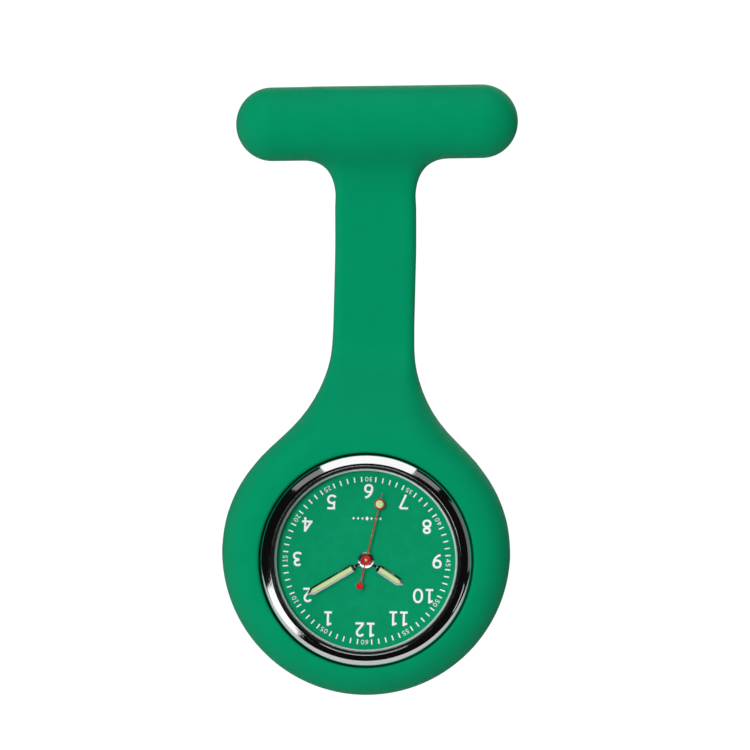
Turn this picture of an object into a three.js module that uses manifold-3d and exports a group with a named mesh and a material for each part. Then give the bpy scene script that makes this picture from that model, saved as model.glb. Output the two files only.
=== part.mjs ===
// Silicone fob watch: a T-shaped silicone hanger with a bar brooch on its back and a round pocket
// that holds a quartz watch head upside down, so that the wearer reads it by lifting it.
// Millimetres. +Z up as worn, the dial faces -Y. The origin is the middle of the brooch pin.
import * as THREE from "three";
import { mergeVertices } from "three/addons/utils/BufferGeometryUtils.js";
import Module from "manifold-3d";

const wasm = await Module();
wasm.setup();

// ---------------------------------------------------------------- driving dimensions
const BAR_HALF_LENGTH = 20.0;
const BAR_HALF_HEIGHT = 5.18;
const BACK_Y = -2.6; // rear face of the bar and of the pocket
const BAR_FRONT_Y = -10.4;
const STRAP_HALF_WIDTH = 5.71;
const STRAP_BACK_Y = -2.65;
const STRAP_FRONT_Y = -5.5;
const WEB_TOP_Z = -17; // the stretch of strap that bends
const WEB_BOTTOM_Z = -25;
const POCKET_Z = -61.4;
const POCKET_R = 20.55;
const HEAD_Z = -62.6; // axis of the watch head
const HEAD_Y = -3.8; // rear rim of the case; heights h run from here towards the front
const CASE_R = 16.3;
const BEZEL_R = 15.15;
const CAVITY_R = 16.36;
const WINDOW_R = 15.35;
const REAR_WINDOW_R = 14.9;
const LIP_UNDER_Y = -10.76; // underside of the lip, just above the shoulder of the case
const RINGS = 40; // facets of every ring about the axis of the head
const POCKET_FRONT_Y = -12.0;
const STEM_H = 2.3; // height of the winding stem
const BATTERY = [-5.6, -4.3]; // x, z in the movement
const THIRD = [2.083, -2.482];
const FIFTH = [1.62, 2.806];
const ROTOR = [0.017, 3.808];
const MINUTE_POST = [-2.0, 0];
const SETTING_POST = [-4.2, 0];
const LEVER_PIVOT = [-7.3, 2.3];
const MINUTE_ANGLE = 58.4; // degrees clockwise from twelve
const HOUR_ANGLE = 302.2;
const SECOND_ANGLE = 192.2;

// ---------------------------------------------------------------- helpers
const D = Math.PI / 180;

function toSolid(geometry) {
  const g = (geometry.index ? geometry.toNonIndexed() : geometry.clone());
  for (const k of Object.keys(g.attributes)) if (k !== "position") g.deleteAttribute(k);
  const m = mergeVertices(g, 1e-4);
  const p = m.attributes.position.array;
  const tri = [];
  let volume = 0;
  for (let i = 0; i < m.index.count; i += 3) {
    const [a, b, c] = [m.index.array[i], m.index.array[i + 1], m.index.array[i + 2]];
    if (a === b || b === c || a === c) continue;
    tri.push(a, b, c);
    const [ax, ay, az, bx, by, bz, cx, cy, cz] = [...p.slice(3 * a, 3 * a + 3), ...p.slice(3 * b, 3 * b + 3), ...p.slice(3 * c, 3 * c + 3)];
    volume += ax * (by * cz - bz * cy) - ay * (bx * cz - bz * cx) + az * (bx * cy - by * cx);
  }
  if (volume < 0) for (let i = 0; i < tri.length; i += 3) [tri[i + 1], tri[i + 2]] = [tri[i + 2], tri[i + 1]];
  return new wasm.Manifold(new wasm.Mesh({ numProp: 3, vertProperties: new Float32Array(p), triVerts: new Uint32Array(tri) }));
}

function toGeometry(solid) {
  const m = solid.getMesh();
  const v = new Float32Array(m.numVert * 3);
  for (let i = 0; i < m.numVert; i++) v.set(m.vertProperties.subarray(i * m.numProp, i * m.numProp + 3), i * 3);
  const g = new THREE.BufferGeometry();
  g.setAttribute("position", new THREE.BufferAttribute(v, 3));
  g.setIndex(new THREE.BufferAttribute(new Uint32Array(m.triVerts), 1));
  g.computeVertexNormals();
  return g;
}

const join = (first, ...rest) => rest.reduce((a, b) => a.add(b), first);
const cut = (first, ...rest) => rest.reduce((a, b) => a.subtract(b), first);

// Solid of revolution about the Y axis from [radius, height] pairs, height h towards -Y.
function turned(profile, segments = 24, x = 0, z = 0) {
  const closed = [...profile];
  const onAxis = profile[0][0] === 0 && profile[profile.length - 1][0] === 0;
  if (!onAxis) closed.push(profile[0]);
  const g = new THREE.LatheGeometry(closed.map(([r, h]) => new THREE.Vector2(r, -h)), segments);
  return toSolid(g.translate(x, 0, z));
}

// Disc or ring about the Y axis.
function disc(r, h0, h1, segments = 24, x = 0, z = 0, bore = 0) {
  return bore > 0
    ? turned([[bore, h0], [r, h0], [r, h1], [bore, h1]], segments, x, z)
    : turned([[0, h0], [r, h0], [r, h1], [0, h1]], segments, x, z);
}

// Prism of an outline in the XZ plane between heights h0 and h1.
function prism(shape, h0, h1, options = {}) {
  const g = new THREE.ExtrudeGeometry(shape, { depth: h1 - h0, bevelEnabled: false, curveSegments: 4, ...options });
  return toSolid(g.rotateX(Math.PI / 2).translate(0, -h0, 0));
}

function block(x0, x1, y0, y1, z0, z1) {
  return toSolid(new THREE.BoxGeometry(x1 - x0, y1 - y0, z1 - z0).translate((x0 + x1) / 2, (y0 + y1) / 2, (z0 + z1) / 2));
}

// Solid of revolution about an axis along X from [radius, x] pairs.
function turnedX(profile, segments = 20, y = 0, z = 0) {
  const closed = [...profile];
  const onAxis = profile[0][0] === 0 && profile[profile.length - 1][0] === 0;
  if (!onAxis) closed.push(profile[0]);
  const g = new THREE.LatheGeometry(closed.map(([r, x]) => new THREE.Vector2(r, x)), segments);
  return toSolid(g.rotateZ(-Math.PI / 2).translate(0, y, z));
}

function polygon(points) {
  return new THREE.Shape(points.map(([x, z]) => new THREE.Vector2(x, z)));
}

function roundedRect(x0, x1, z0, z1, r) {
  const s = new THREE.Shape();
  s.moveTo(x0 + r, z0);
  s.lineTo(x1 - r, z0);
  s.absarc(x1 - r, z0 + r, r, -Math.PI / 2, 0, false);
  s.lineTo(x1, z1 - r);
  s.absarc(x1 - r, z1 - r, r, 0, Math.PI / 2, false);
  s.lineTo(x0 + r, z1);
  s.absarc(x0 + r, z1 - r, r, Math.PI / 2, Math.PI, false);
  s.lineTo(x0, z0 + r);
  s.absarc(x0 + r, z0 + r, r, Math.PI, 1.5 * Math.PI, false);
  return s;
}

function capsule(ax, az, bx, bz, r) {
  const t = Math.atan2(bz - az, bx - ax);
  const s = new THREE.Shape();
  s.absarc(bx, bz, r, t - Math.PI / 2, t + Math.PI / 2, false);
  s.absarc(ax, az, r, t + Math.PI / 2, t + 1.5 * Math.PI, false);
  return s;
}

// Toothed outline. A tooth is centred on the angle phase (radians). land 0 makes pointed teeth.
function gearShape(teeth, root, tip, phase, land = 0, cx = 0, cz = 0) {
  const points = [];
  const pitch = (2 * Math.PI) / teeth;
  for (let i = 0; i < teeth; i++) {
    const a = phase + i * pitch;
    const at = (r, t) => points.push([cx + r * Math.cos(t), cz + r * Math.sin(t)]);
    if (land > 0) {
      at(root, a - pitch * 0.27);
      at(tip, a - pitch * land);
      at(tip, a + pitch * land);
      at(root, a + pitch * 0.27);
    } else {
      at(tip, a);
      at(root, a + pitch / 2);
    }
  }
  return polygon(points);
}

// Phase that puts a tooth of the first wheel on the line of centres, and a gap of the second on it.
const towards = (a, b) => Math.atan2(b[1] - a[1], b[0] - a[0]);
const gapTowards = (a, b, teeth) => towards(a, b) + Math.PI / teeth;

const material = {
  silicone: new THREE.MeshStandardMaterial({ color: 0x008f5e, roughness: 0.62, metalness: 0 }),
  steel: new THREE.MeshStandardMaterial({ color: 0xc9cbcd, roughness: 0.28, metalness: 1 }),
  chrome: new THREE.MeshStandardMaterial({ color: 0xe4e6e8, roughness: 0.06, metalness: 1 }),
  brass: new THREE.MeshStandardMaterial({ color: 0xc9a24b, roughness: 0.32, metalness: 1 }),
  glass: new THREE.MeshStandardMaterial({ color: 0xf4f8f8, roughness: 0.02, metalness: 0, transparent: true, opacity: 0.25 }),
  dial: new THREE.MeshStandardMaterial({ color: 0x008a5a, roughness: 0.5, metalness: 0 }),
  lume: new THREE.MeshStandardMaterial({ color: 0xd2e6a8, roughness: 0.75, metalness: 0 }),
  red: new THREE.MeshStandardMaterial({ color: 0xb5121b, roughness: 0.35, metalness: 0 }),
  gasket: new THREE.MeshStandardMaterial({ color: 0x1b1c1e, roughness: 0.7, metalness: 0 }),
  plastic: new THREE.MeshStandardMaterial({ color: 0xe9e6da, roughness: 0.55, metalness: 0 }),
  blackPlastic: new THREE.MeshStandardMaterial({ color: 0x22252a, roughness: 0.5, metalness: 0 }),
  copper: new THREE.MeshStandardMaterial({ color: 0xb4632f, roughness: 0.38, metalness: 1 }),
  board: new THREE.MeshStandardMaterial({ color: 0x1d6b3a, roughness: 0.5, metalness: 0 }),
  iron: new THREE.MeshStandardMaterial({ color: 0x8e9094, roughness: 0.4, metalness: 1 }),
};

function mesh(name, solid, mat) {
  const m = new THREE.Mesh(toGeometry(solid), material[mat]);
  m.name = name;
  return m;
}

const fobWatch = new THREE.Group();
const brooch = new THREE.Group();
const head = new THREE.Group();
head.position.set(0, HEAD_Y, HEAD_Z);
const movement = new THREE.Group();
head.add(movement);
fobWatch.add(brooch, head);

// ---------------------------------------------------------------- silicone hanger
// Solid through a stack of rounded-rectangle sections: [z, half width, back y, front y, corner radius].
function loft(sections) {
  const arc = 2;
  const ring = ([z, w, back, front, r]) => {
    const points = [];
    const corners = [[w - r, back - r, 0], [-w + r, back - r, 1], [-w + r, front + r, 2], [w - r, front + r, 3]];
    for (const [cx, cy, q] of corners) {
      for (let i = 0; i <= arc; i++) {
        const t = (q + i / arc) * (Math.PI / 2);
        points.push([cx + r * Math.cos(t), cy + r * Math.sin(t), z]);
      }
    }
    return points;
  };
  const rings = sections.map(ring);
  const n = rings[0].length;
  const v = rings.flat(2);
  const index = [];
  for (let k = 0; k + 1 < rings.length; k++) {
    for (let i = 0; i < n; i++) {
      const a = k * n + i, b = k * n + ((i + 1) % n);
      index.push(a, a + n, b, b, a + n, b + n);
    }
  }
  const last = (rings.length - 1) * n;
  for (let i = 1; i + 1 < n; i++) {
    index.push(0, i, i + 1);
    index.push(last, last + i + 1, last + i);
  }
  const g = new THREE.BufferGeometry();
  g.setAttribute("position", new THREE.BufferAttribute(new Float32Array(v), 3));
  g.setIndex(index);
  return toSolid(g);
}

// Strap under the bar: it widens and thickens into the bar with a fillet.
const neckSections = [
  [0, 9.4, STRAP_BACK_Y, -8.6, 1.2], [-4.6, 9.4, STRAP_BACK_Y, -8.6, 1.2], [-5.3, 8.95, STRAP_BACK_Y, -8.2, 1.2],
  [-5.9, 8.25, STRAP_BACK_Y, -7.6, 1.2], [-6.6, 7.4, STRAP_BACK_Y, -6.9, 1.2], [-7.5, 6.65, STRAP_BACK_Y, -6.25, 1.2],
  [-8.7, 6.08, STRAP_BACK_Y, -5.75, 1.2], [-10.2, 5.78, STRAP_BACK_Y, STRAP_FRONT_Y, 1.2],
];
const strapAt = (z) => [z, STRAP_HALF_WIDTH, STRAP_BACK_Y, STRAP_FRONT_Y, 1.2];
// Bar: a stadium in front view with rounded edges.
const BAR_BEVEL = 2.6;
const barShape = capsule(-BAR_HALF_LENGTH + BAR_HALF_HEIGHT, 0, BAR_HALF_LENGTH - BAR_HALF_HEIGHT, 0, BAR_HALF_HEIGHT);
const bar = toSolid(
  new THREE.ExtrudeGeometry(barShape, {
    depth: BACK_Y - BAR_FRONT_Y - 2 * BAR_BEVEL, bevelEnabled: true, bevelThickness: BAR_BEVEL, bevelSize: BAR_BEVEL,
    bevelOffset: -BAR_BEVEL, bevelSegments: 3, curveSegments: 7,
  }).rotateX(Math.PI / 2).translate(0, BACK_Y - BAR_BEVEL, 0),
);
// Undercut seat for the brooch plate, with a window that its lugs stand through.
const plateSeat = block(-15.6, 15.6, -4.32, -3.38, -2.6, 2.6);
const plateWindow = block(-14.75, 14.75, -3.5, 1, -1.75, 1.75);
const sleeveTop = cut(join(bar, loft([...neckSections, strapAt(-12), strapAt(WEB_TOP_Z)])), plateSeat, plateWindow);
fobWatch.add(mesh("sleeve_top", sleeveTop, "silicone"));
fobWatch.add(mesh("sleeve_flex_web", loft([strapAt(WEB_TOP_Z - 0.03), strapAt(WEB_BOTTOM_Z + 0.03)]), "silicone"));

// Flare of the strap, rising forward to the front of the pocket.
const flare = loft([
  strapAt(WEB_BOTTOM_Z), strapAt(-29.5),
  [-32.6, 5.84, STRAP_BACK_Y, -5.65, 1.25], [-35.0, 6.22, STRAP_BACK_Y, -6.1, 1.4], [-37.2, 6.86, STRAP_BACK_Y, -6.95, 1.7],
  [-39.2, 7.72, STRAP_BACK_Y, -8.05, 2.0], [-41.1, 8.86, STRAP_BACK_Y, -9.3, 2.4], [-42.6, 9.88, STRAP_BACK_Y, -10.2, 2.7],
  [-44.0, 11.08, STRAP_BACK_Y, -10.9, 2.9], [-45.4, 12.2, STRAP_BACK_Y, -11.4, 3.0], [-47, 12.4, STRAP_BACK_Y, -11.75, 3.0],
  [-52, 12.4, STRAP_BACK_Y, -11.85, 3.0],
]);
const pocketDisc = turned([
  [0, -BACK_Y], [18.5, -BACK_Y], [19.8, 3.4], [POCKET_R, 5.2], [POCKET_R, 7.2], [19.95, 9.4], [19.0, 10.9],
  [17.6, 11.8], [16.4, -POCKET_FRONT_Y], [0, -POCKET_FRONT_Y],
], 44, 0, POCKET_Z);
const pocketOuter = join(pocketDisc, flare);
const ringAt = (r, y0, y1) => disc(r, -y1, -y0, RINGS, 0, HEAD_Z);
const lipRegion = cut(ringAt(18.8, -14, LIP_UNDER_Y), ringAt(WINDOW_R, -15, -9));
const crownSlot = block(-18.7, -15.5, LIP_UNDER_Y - 2, HEAD_Y - 0.35, HEAD_Z - 1.8, HEAD_Z + 1.8);
const pocket = cut(
  pocketOuter,
  ringAt(CAVITY_R, LIP_UNDER_Y - 1, HEAD_Y + 0.1),
  ringAt(18.85, -15, LIP_UNDER_Y + 0.03),
  ringAt(REAR_WINDOW_R, -6, 0),
  crownSlot,
);
fobWatch.add(mesh("sleeve_pocket", pocket, "silicone"));
fobWatch.add(mesh("sleeve_front_lip", pocketOuter.intersect(lipRegion), "silicone"));

// ---------------------------------------------------------------- bar brooch
// Steel strip with two hinge ears at the left and two fork plates at the right.
const strip = block(-15.4, 15.4, -4.26, -3.44, -2.4, 2.4);
const ear = (z0, z1) => {
  const s = new THREE.Shape();
  s.moveTo(-14.3, -3.6);
  s.lineTo(-11.7, -3.6);
  s.lineTo(-12.0, 0);
  s.absarc(-13, 0, 1.0, 0, Math.PI, false);
  s.closePath();
  return toSolid(new THREE.ExtrudeGeometry(s, { depth: z1 - z0, bevelEnabled: false, curveSegments: 6 }).translate(0, 0, z0));
};
const rivetBore = toSolid(new THREE.CylinderGeometry(0.43, 0.43, 6, 12).rotateX(Math.PI / 2).translate(-13, 0, 0));
const fork = (x0, x1) => {
  // outline in the Z (first) and Y (second) directions
  const s = new THREE.Shape();
  s.moveTo(-1.35, -3.6);
  s.lineTo(1.35, -3.6);
  s.lineTo(1.35, 0.9);
  s.lineTo(0.62, 1.35);
  s.lineTo(0.62, 0.66);
  s.absarc(0, 0, 0.905, Math.asin(0.66 / 0.905), Math.PI - Math.asin(0.66 / 0.905), true);
  s.lineTo(-0.62, 1.35);
  s.lineTo(-1.35, 0.9);
  s.closePath();
  // shape x -> Z, shape y -> Y, depth -> X
  return toSolid(
    new THREE.ExtrudeGeometry(s, { depth: x1 - x0, bevelEnabled: false, curveSegments: 10 })
      .applyMatrix4(new THREE.Matrix4().set(0, 0, 1, x0, 0, 1, 0, 0, 1, 0, 0, 0, 0, 0, 0, 1)),
  );
};
const broochPlate = cut(
  join(strip, ear(-1.45, -0.95), ear(0.95, 1.45), fork(11.95, 12.4), fork(13.6, 14.05)),
  rivetBore,
);
brooch.add(mesh("brooch_plate", broochPlate, "steel"));
brooch.add(mesh("brooch_hinge_rivet", join(
  toSolid(new THREE.CylinderGeometry(0.38, 0.38, 3.1, 12).rotateX(Math.PI / 2).translate(-13, 0, 0)),
  toSolid(new THREE.CylinderGeometry(0.66, 0.66, 0.26, 12).rotateX(Math.PI / 2).translate(-13, 0, 1.62)),
  toSolid(new THREE.CylinderGeometry(0.66, 0.66, 0.26, 12).rotateX(Math.PI / 2).translate(-13, 0, -1.62)),
), "steel"));
const stemEye = cut(
  toSolid(new THREE.CylinderGeometry(0.85, 0.85, 1.7, 16).rotateX(Math.PI / 2).translate(-13, 0, 0)),
  toSolid(new THREE.CylinderGeometry(0.43, 0.43, 4, 12).rotateX(Math.PI / 2).translate(-13, 0, 0)),
);
brooch.add(mesh("brooch_pin_stem", join(stemEye, turnedX([[0, -12.5], [0.45, -12.5], [0.45, 13.4], [0.3, 14.3], [0.06, 15.0], [0, 15.05]], 12)), "steel"));

// Roll-over catch: a slotted barrel that turns about the pin between the forks.
const catchSlot = join(
  toSolid(new THREE.CylinderGeometry(0.56, 0.56, 4, 16).rotateZ(Math.PI / 2).translate(13, 0, 0)),
  block(11, 15, 0, 3, -0.545, 0.545),
);
const catchBody = cut(
  join(
    turnedX([[0, 12.46], [1.45, 12.46], [1.45, 13.54], [0, 13.54]], 18),
    turnedX([[0, 11.9], [0.84, 11.9], [0.84, 14.1], [0, 14.1]], 18),
    block(12.55, 13.45, -0.3, 0.3, 1.1, 2.4),
  ),
  catchSlot,
);
brooch.add(mesh("brooch_safety_catch", catchBody, "steel"));

// ---------------------------------------------------------------- watch case
const crownBore = turnedX([[0, -17], [0.9, -17], [0.9, -12.5], [0, -12.5]], 16, -STEM_H, 0);
const caseBody = cut(turned([
  [14.75, 0], [15.9, 0], [CASE_R, 0.45], [CASE_R, 6.3], [15.95, 6.88], [BEZEL_R, 6.9], [BEZEL_R, 7.9], [14.85, 8.3],
  [14.2, 8.56], [13.75, 8.46], [13.5, 8.16], [13.5, 6.95], [13.2, 6.95], [13.2, 6.66], [13.9, 6.6], [13.9, 0.8], [14.75, 0.8],
], RINGS), crownBore);
head.add(mesh("case_body", caseBody, "chrome"));
head.add(mesh("crystal", turned([[0, 6.98], [13.1, 6.98], [13.1, 8.02], [12.9, 8.2], [0, 8.2]], RINGS), "glass"));
head.add(mesh("crystal_gasket", turned([[13.14, 6.98], [13.46, 6.98], [13.46, 8.0], [13.14, 8.0]], RINGS), "blackPlastic"));
head.add(mesh("rehaut_ring", turned([[12.9, 4.5], [13.85, 4.5], [13.85, 6.54], [13.17, 6.62]], RINGS), "chrome"));

// Snap-on case back: a shallow dish with a plug ring that grips the bore.
head.add(mesh("case_back", turned([
  [0, -1.25], [13.9, -1.25], [14.6, -0.7], [14.6, 0.4], [13.8, 0.4], [13.8, 1.6], [13.3, 1.6], [13.2, -0.3], [0, -0.5],
], RINGS), "steel"));
head.add(mesh("case_back_gasket", turned([[13.95, 0.43], [14.6, 0.43], [14.6, 0.76], [13.95, 0.76]], RINGS), "gasket"));

// ---------------------------------------------------------------- dial and hands
const foot = (x, z) => disc(0.28, 3.3, 4.2, 8, x, z);
head.add(mesh("dial", cut(join(turned([[0, 4.05], [13.6, 4.05], [13.6, 4.45], [0, 4.45]], RINGS), foot(-7.0, 6.0), foot(6.9, -5.4)), disc(0.95, 3, 5, 16)), "dial"));

// Outline of a hand that points to twelve (towards -Z), widths across it.
const turnHand = (points, degrees) => {
  const c = Math.cos(degrees * D), s = Math.sin(degrees * D);
  // twelve is -Z and clockwise, seen from the front, runs from -Z to -X
  return points.map(([across, along]) => [-along * s + across * c, -along * c - across * s]);
};
const handShape = (points, degrees) => polygon(turnHand([...points, ...points.slice().reverse().map(([a, l]) => [-a, l])], degrees));
const lumeHand = (tip, shoulder, start, width, neck) => [[neck, 0.6], [neck, start - 0.35], [width, start], [width, shoulder], [0.03, tip]];
const slotOutline = (shoulder, start, width) => [[width, start], [width, shoulder - 0.1], [0.1, shoulder + 0.33]];
const HANDS = {
  hour: { angle: HOUR_ANGLE, tip: 6.43, shoulder: 5.6, start: 2.25, width: 0.56, neck: 0.23, h0: 4.76, h1: 4.94, bore: 0.78, hub: 1.12 },
  minute: { angle: MINUTE_ANGLE, tip: 9.75, shoulder: 8.9, start: 2.25, width: 0.55, neck: 0.23, h0: 5.3, h1: 5.48, bore: 0.475, hub: 1.0 },
};
for (const [name, q] of Object.entries(HANDS)) {
  const slot = handShape(slotOutline(q.shoulder, q.start + 0.28, 0.3), q.angle);
  const blade = cut(
    join(prism(handShape(lumeHand(q.tip, q.shoulder, q.start, q.width, q.neck), q.angle), q.h0, q.h1), disc(q.hub, q.h0, q.h1, 18)),
    disc(q.bore, q.h0 - 1, q.h1 + 1, 14),
    prism(slot, q.h0 - 1, q.h1 + 1),
  );
  head.add(mesh(`${name}_hand`, blade, "chrome"));
  const fill = handShape(slotOutline(q.shoulder - 0.03, q.start + 0.31, 0.27), q.angle);
  head.add(mesh(`${name}_hand_lume`, prism(fill, q.h0 + 0.03, q.h1 - 0.01), "lume"));
}
const secondAt = (along) => turnHand([[0, along]], SECOND_ANGLE)[0];
const secondBlade = prism(handShape([[0.1, -3.6], [0.13, 0], [0.07, 8.6], [0.03, 9.9]], SECOND_ANGLE), 5.84, 5.96);
const secondHand = cut(
  join(secondBlade, disc(0.79, 5.84, 5.96, 16), disc(0.52, 5.84, 5.96, 12, ...secondAt(-3.8)), disc(0.78, 5.84, 5.96, 16, ...secondAt(8.25))),
  disc(0.22, 5, 7, 8),
  disc(0.52, 5, 7, 12, ...secondAt(8.25)),
);
head.add(mesh("second_hand", secondHand, "red"));
head.add(mesh("second_hand_lume", disc(0.49, 5.85, 5.95, 12, ...secondAt(8.25)), "lume"));

// ---------------------------------------------------------------- crown and setting parts
const stemSolid = turnedX([
  [0, -17.5], [0.45, -17.5], [0.45, -7.6], [0.27, -7.6], [0.27, -7.0], [0.45, -7.0], [0.45, -6.2], [0.36, -6.1], [0.36, -4.1], [0.24, -3.9], [0, -3.9],
], 12, -STEM_H, 0);
head.add(mesh("crown_tube", turnedX([[0.5, -16.95], [0.86, -16.95], [0.86, -14.0], [0.5, -14.0]], 16, -STEM_H, 0), "brass"));
const knurl = gearShape(18, 1.36, 1.5, 0);
const crownSolid = cut(
  join(
    toSolid(new THREE.ExtrudeGeometry(knurl, { depth: 1.2, bevelEnabled: false }).rotateY(-Math.PI / 2).translate(-16.5, -STEM_H, 0)),
    turnedX([[0, -18.0], [1.05, -18.0], [1.34, -17.8], [1.34, -17.6], [0, -17.6]], 16, -STEM_H, 0),
  ),
  turnedX([[0, -17.35], [1.2, -17.35], [1.2, -16.3], [0, -16.3]], 16, -STEM_H, 0),
  turnedX([[0, -17.52], [0.47, -17.52], [0.48, -17.2], [0, -17.2]], 12, -STEM_H, 0),
);
head.add(mesh("crown", crownSolid, "chrome"));
head.add(mesh("crown_gasket", turnedX([[0.89, -16.9], [1.17, -16.9], [1.17, -16.6], [0.89, -16.6]], 16, -STEM_H, 0), "gasket"));
head.add(mesh("winding_stem", stemSolid, "steel"));
const clutchTeeth = toSolid(
  new THREE.ExtrudeGeometry(gearShape(9, 0.45, 0.55, 0), { depth: 0.35, bevelEnabled: false }).rotateY(-Math.PI / 2).translate(-4.75, -STEM_H, 0),
);
movement.add(mesh("clutch_wheel", cut(
  join(clutchTeeth, turnedX([[0, -5.9], [0.5, -5.9], [0.5, -5.05], [0, -5.05]], 12, -STEM_H, 0)),
  turnedX([[0, -6.4], [0.4, -6.4], [0.4, -4], [0, -4]], 12, -STEM_H, 0),
), "steel"));
const lever = cut(
  join(
    prism(polygon([[-7.5, 0.33], [-7.1, 0.33], [-7.05, 1.2], [-6.5, 1.9], [-6.6, 2.6], [-7.3, 2.95], [-8.2, 2.6], [-8.3, 1.8], [-7.55, 1.3]]), 2.2, 2.4),
  ),
  disc(0.33, 1, 4, 10, ...LEVER_PIVOT),
);
movement.add(mesh("setting_lever", lever, "steel"));

// ---------------------------------------------------------------- movement frame
const plateOutline = roundedRect(-9.4, 9.0, -8.1, 7.75, 3.4);
const BRIDGE_SCREWS = [[4.3, 0.8], [1.2, -6.3], [-3.5, 2.6]];
const STATOR_SCREWS = [[-6.9, 4.0], [6.9, 4.0]];
const BOARD_SCREW = [7.3, 2.1];
const CLAMP_SCREW = [-1.2, -6.9];
const boss = ([x, z], h0, r = 0.62) => disc(r, h0, 3.0, 10, x, z);
const bore = ([x, z], h1 = 2.75, r = 0.33) => disc(r, 0, h1, 8, x, z);
const mainPlate = cut(
  join(
    prism(plateOutline, 2.9, 3.8),
    ...BRIDGE_SCREWS.map((p) => boss(p, 1.03)),
    ...STATOR_SCREWS.map((p) => boss(p, 2.01, 0.75)),
    boss(BOARD_SCREW, 1.28),
    boss(CLAMP_SCREW, 0.57),
    disc(0.3, 2.1, 3.0, 8, ...LEVER_PIVOT),
  ),
  disc(3.5, 0, 3.4, 24, ...BATTERY),
  disc(1.95, 3.25, 5, 20),
  disc(1.75, 3.25, 5, 20, ...MINUTE_POST),
  disc(0.92, 3.3, 5, 12, ...SETTING_POST),
  disc(0.5, 2, 5, 12),
  prism(roundedRect(-5.3, -4.4, -0.5, 0.5, 0.2), 2.5, 3.5, { curveSegments: 1 }),
  disc(0.15, 2, 3.2, 6, ...THIRD),
  disc(0.15, 2, 3.2, 6, ...FIFTH),
  disc(0.13, 2, 3.2, 6, ...ROTOR),
  disc(0.34, 3.2, 5, 8, -7.0, 6.0),
  disc(0.34, 3.2, 5, 8, 6.9, -5.4),
  ...BRIDGE_SCREWS.map((p) => bore(p)),
  ...STATOR_SCREWS.map((p) => bore(p)),
  bore(BOARD_SCREW),
  bore(CLAMP_SCREW),
);
movement.add(mesh("main_plate", join(mainPlate, disc(0.2, 3.1, 3.95, 8, ...MINUTE_POST), disc(0.2, 3.1, 3.7, 8, ...SETTING_POST)), "plastic"));

const bridgeOutline = polygon([
  [-4.5, 1.75], [-4.4, 3.1], [-2.6, 4.85], [2.6, 4.85], [5.2, 2.0], [5.25, -0.2], [5.3, -2.6], [4.2, -5.2], [2.1, -7.2], [0.3, -7.2], [-0.75, -5.2], [-1.0, -1.8], [-2.3, -1.2], [-2.6, 1.2],
]);
movement.add(mesh("train_bridge", cut(
  prism(bridgeOutline, 0.6, 1.0),
  disc(0.17, 0, 2, 8), disc(0.15, 0, 2, 6, ...THIRD), disc(0.15, 0, 2, 6, ...FIFTH), disc(0.13, 0, 2, 6, ...ROTOR),
  ...BRIDGE_SCREWS.map((p) => disc(0.36, 0, 2, 8, ...p)),
), "steel"));

const screw = (head0, head1, headR, end, [x, z]) => cut(
  turned([[0, head0], [headR, head0], [headR, head1], [0.29, head1], [0.29, end], [0, end]], 10, x, z),
  block(x - 1, x + 1, -head0 - 0.12, 1, z - 0.11, z + 0.11),
);
BRIDGE_SCREWS.forEach((p, i) => movement.add(mesh(`bridge_screw_${i + 1}`, screw(0.28, 0.57, 0.72, 2.5, p), "steel")));
STATOR_SCREWS.forEach((p, i) => movement.add(mesh(`stator_screw_${i + 1}`, screw(0.72, 1.02, 0.68, 2.6, p), "steel")));
movement.add(mesh("circuit_screw", screw(0.66, 0.97, 0.68, 2.6, BOARD_SCREW), "steel"));
movement.add(mesh("battery_clamp_screw", screw(0.0, 0.29, 0.72, 2.3, CLAMP_SCREW), "steel"));

// Plastic ring that centres the movement in the case.
const movementRing = cut(
  disc(13.8, 1.76, 4.0, RINGS),
  prism(roundedRect(-9.5, 9.1, -8.2, 7.85, 3.5), 0, 6),
  turnedX([[0, -15], [0.62, -15], [0.62, -8.5], [0, -8.5]], 10, -STEM_H, 0),
);
movement.add(mesh("movement_ring", movementRing, "plastic"));

// ---------------------------------------------------------------- wheels
const C0 = [0, 0];
const arbor = (profile, p, segs = 8) => turned(profile, segs, ...p);
// Seconds wheel, 30 teeth, with a pinion of 6 and the arbor that carries the second hand.
movement.add(mesh("seconds_wheel", join(
  prism(gearShape(30, 2.55, 2.84, gapTowards(C0, FIFTH, 30)), 1.25, 1.4),
  prism(gearShape(6, 0.27, 0.48, towards(C0, THIRD), 0.1), 1.4, 2.1),
  arbor([[0, 0.64], [0.12, 0.64], [0.12, 1.05], [0.2, 1.05], [0.2, 6.02], [0, 6.02]], C0),
), "brass"));
// Third wheel, 45 teeth, pinion 6.
movement.add(mesh("third_wheel", join(
  prism(gearShape(45, 2.74, 2.95, gapTowards(THIRD, C0, 45), 0, ...THIRD), 1.7, 1.85),
  prism(gearShape(6, 0.25, 0.46, towards(THIRD, C0), 0.1, ...THIRD), 1.85, 2.75),
  arbor([[0, 0.64], [0.1, 0.64], [0.1, 2.8], [0.1, 3.15], [0, 3.15]], THIRD, 6),
), "brass"));
// Centre wheel, 48 teeth, with the cannon pinion of 10 on its pipe.
movement.add(mesh("centre_wheel", cut(
  join(
    prism(gearShape(48, 2.76, 2.97, gapTowards(C0, THIRD, 48)), 2.4, 2.55),
    prism(gearShape(10, 0.42, 0.58, towards(C0, MINUTE_POST), 0.1), 3.3, 3.6),
    disc(0.45, 2.4, 5.52, 12),
  ),
  disc(0.26, 2, 6, 8),
), "brass"));
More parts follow.
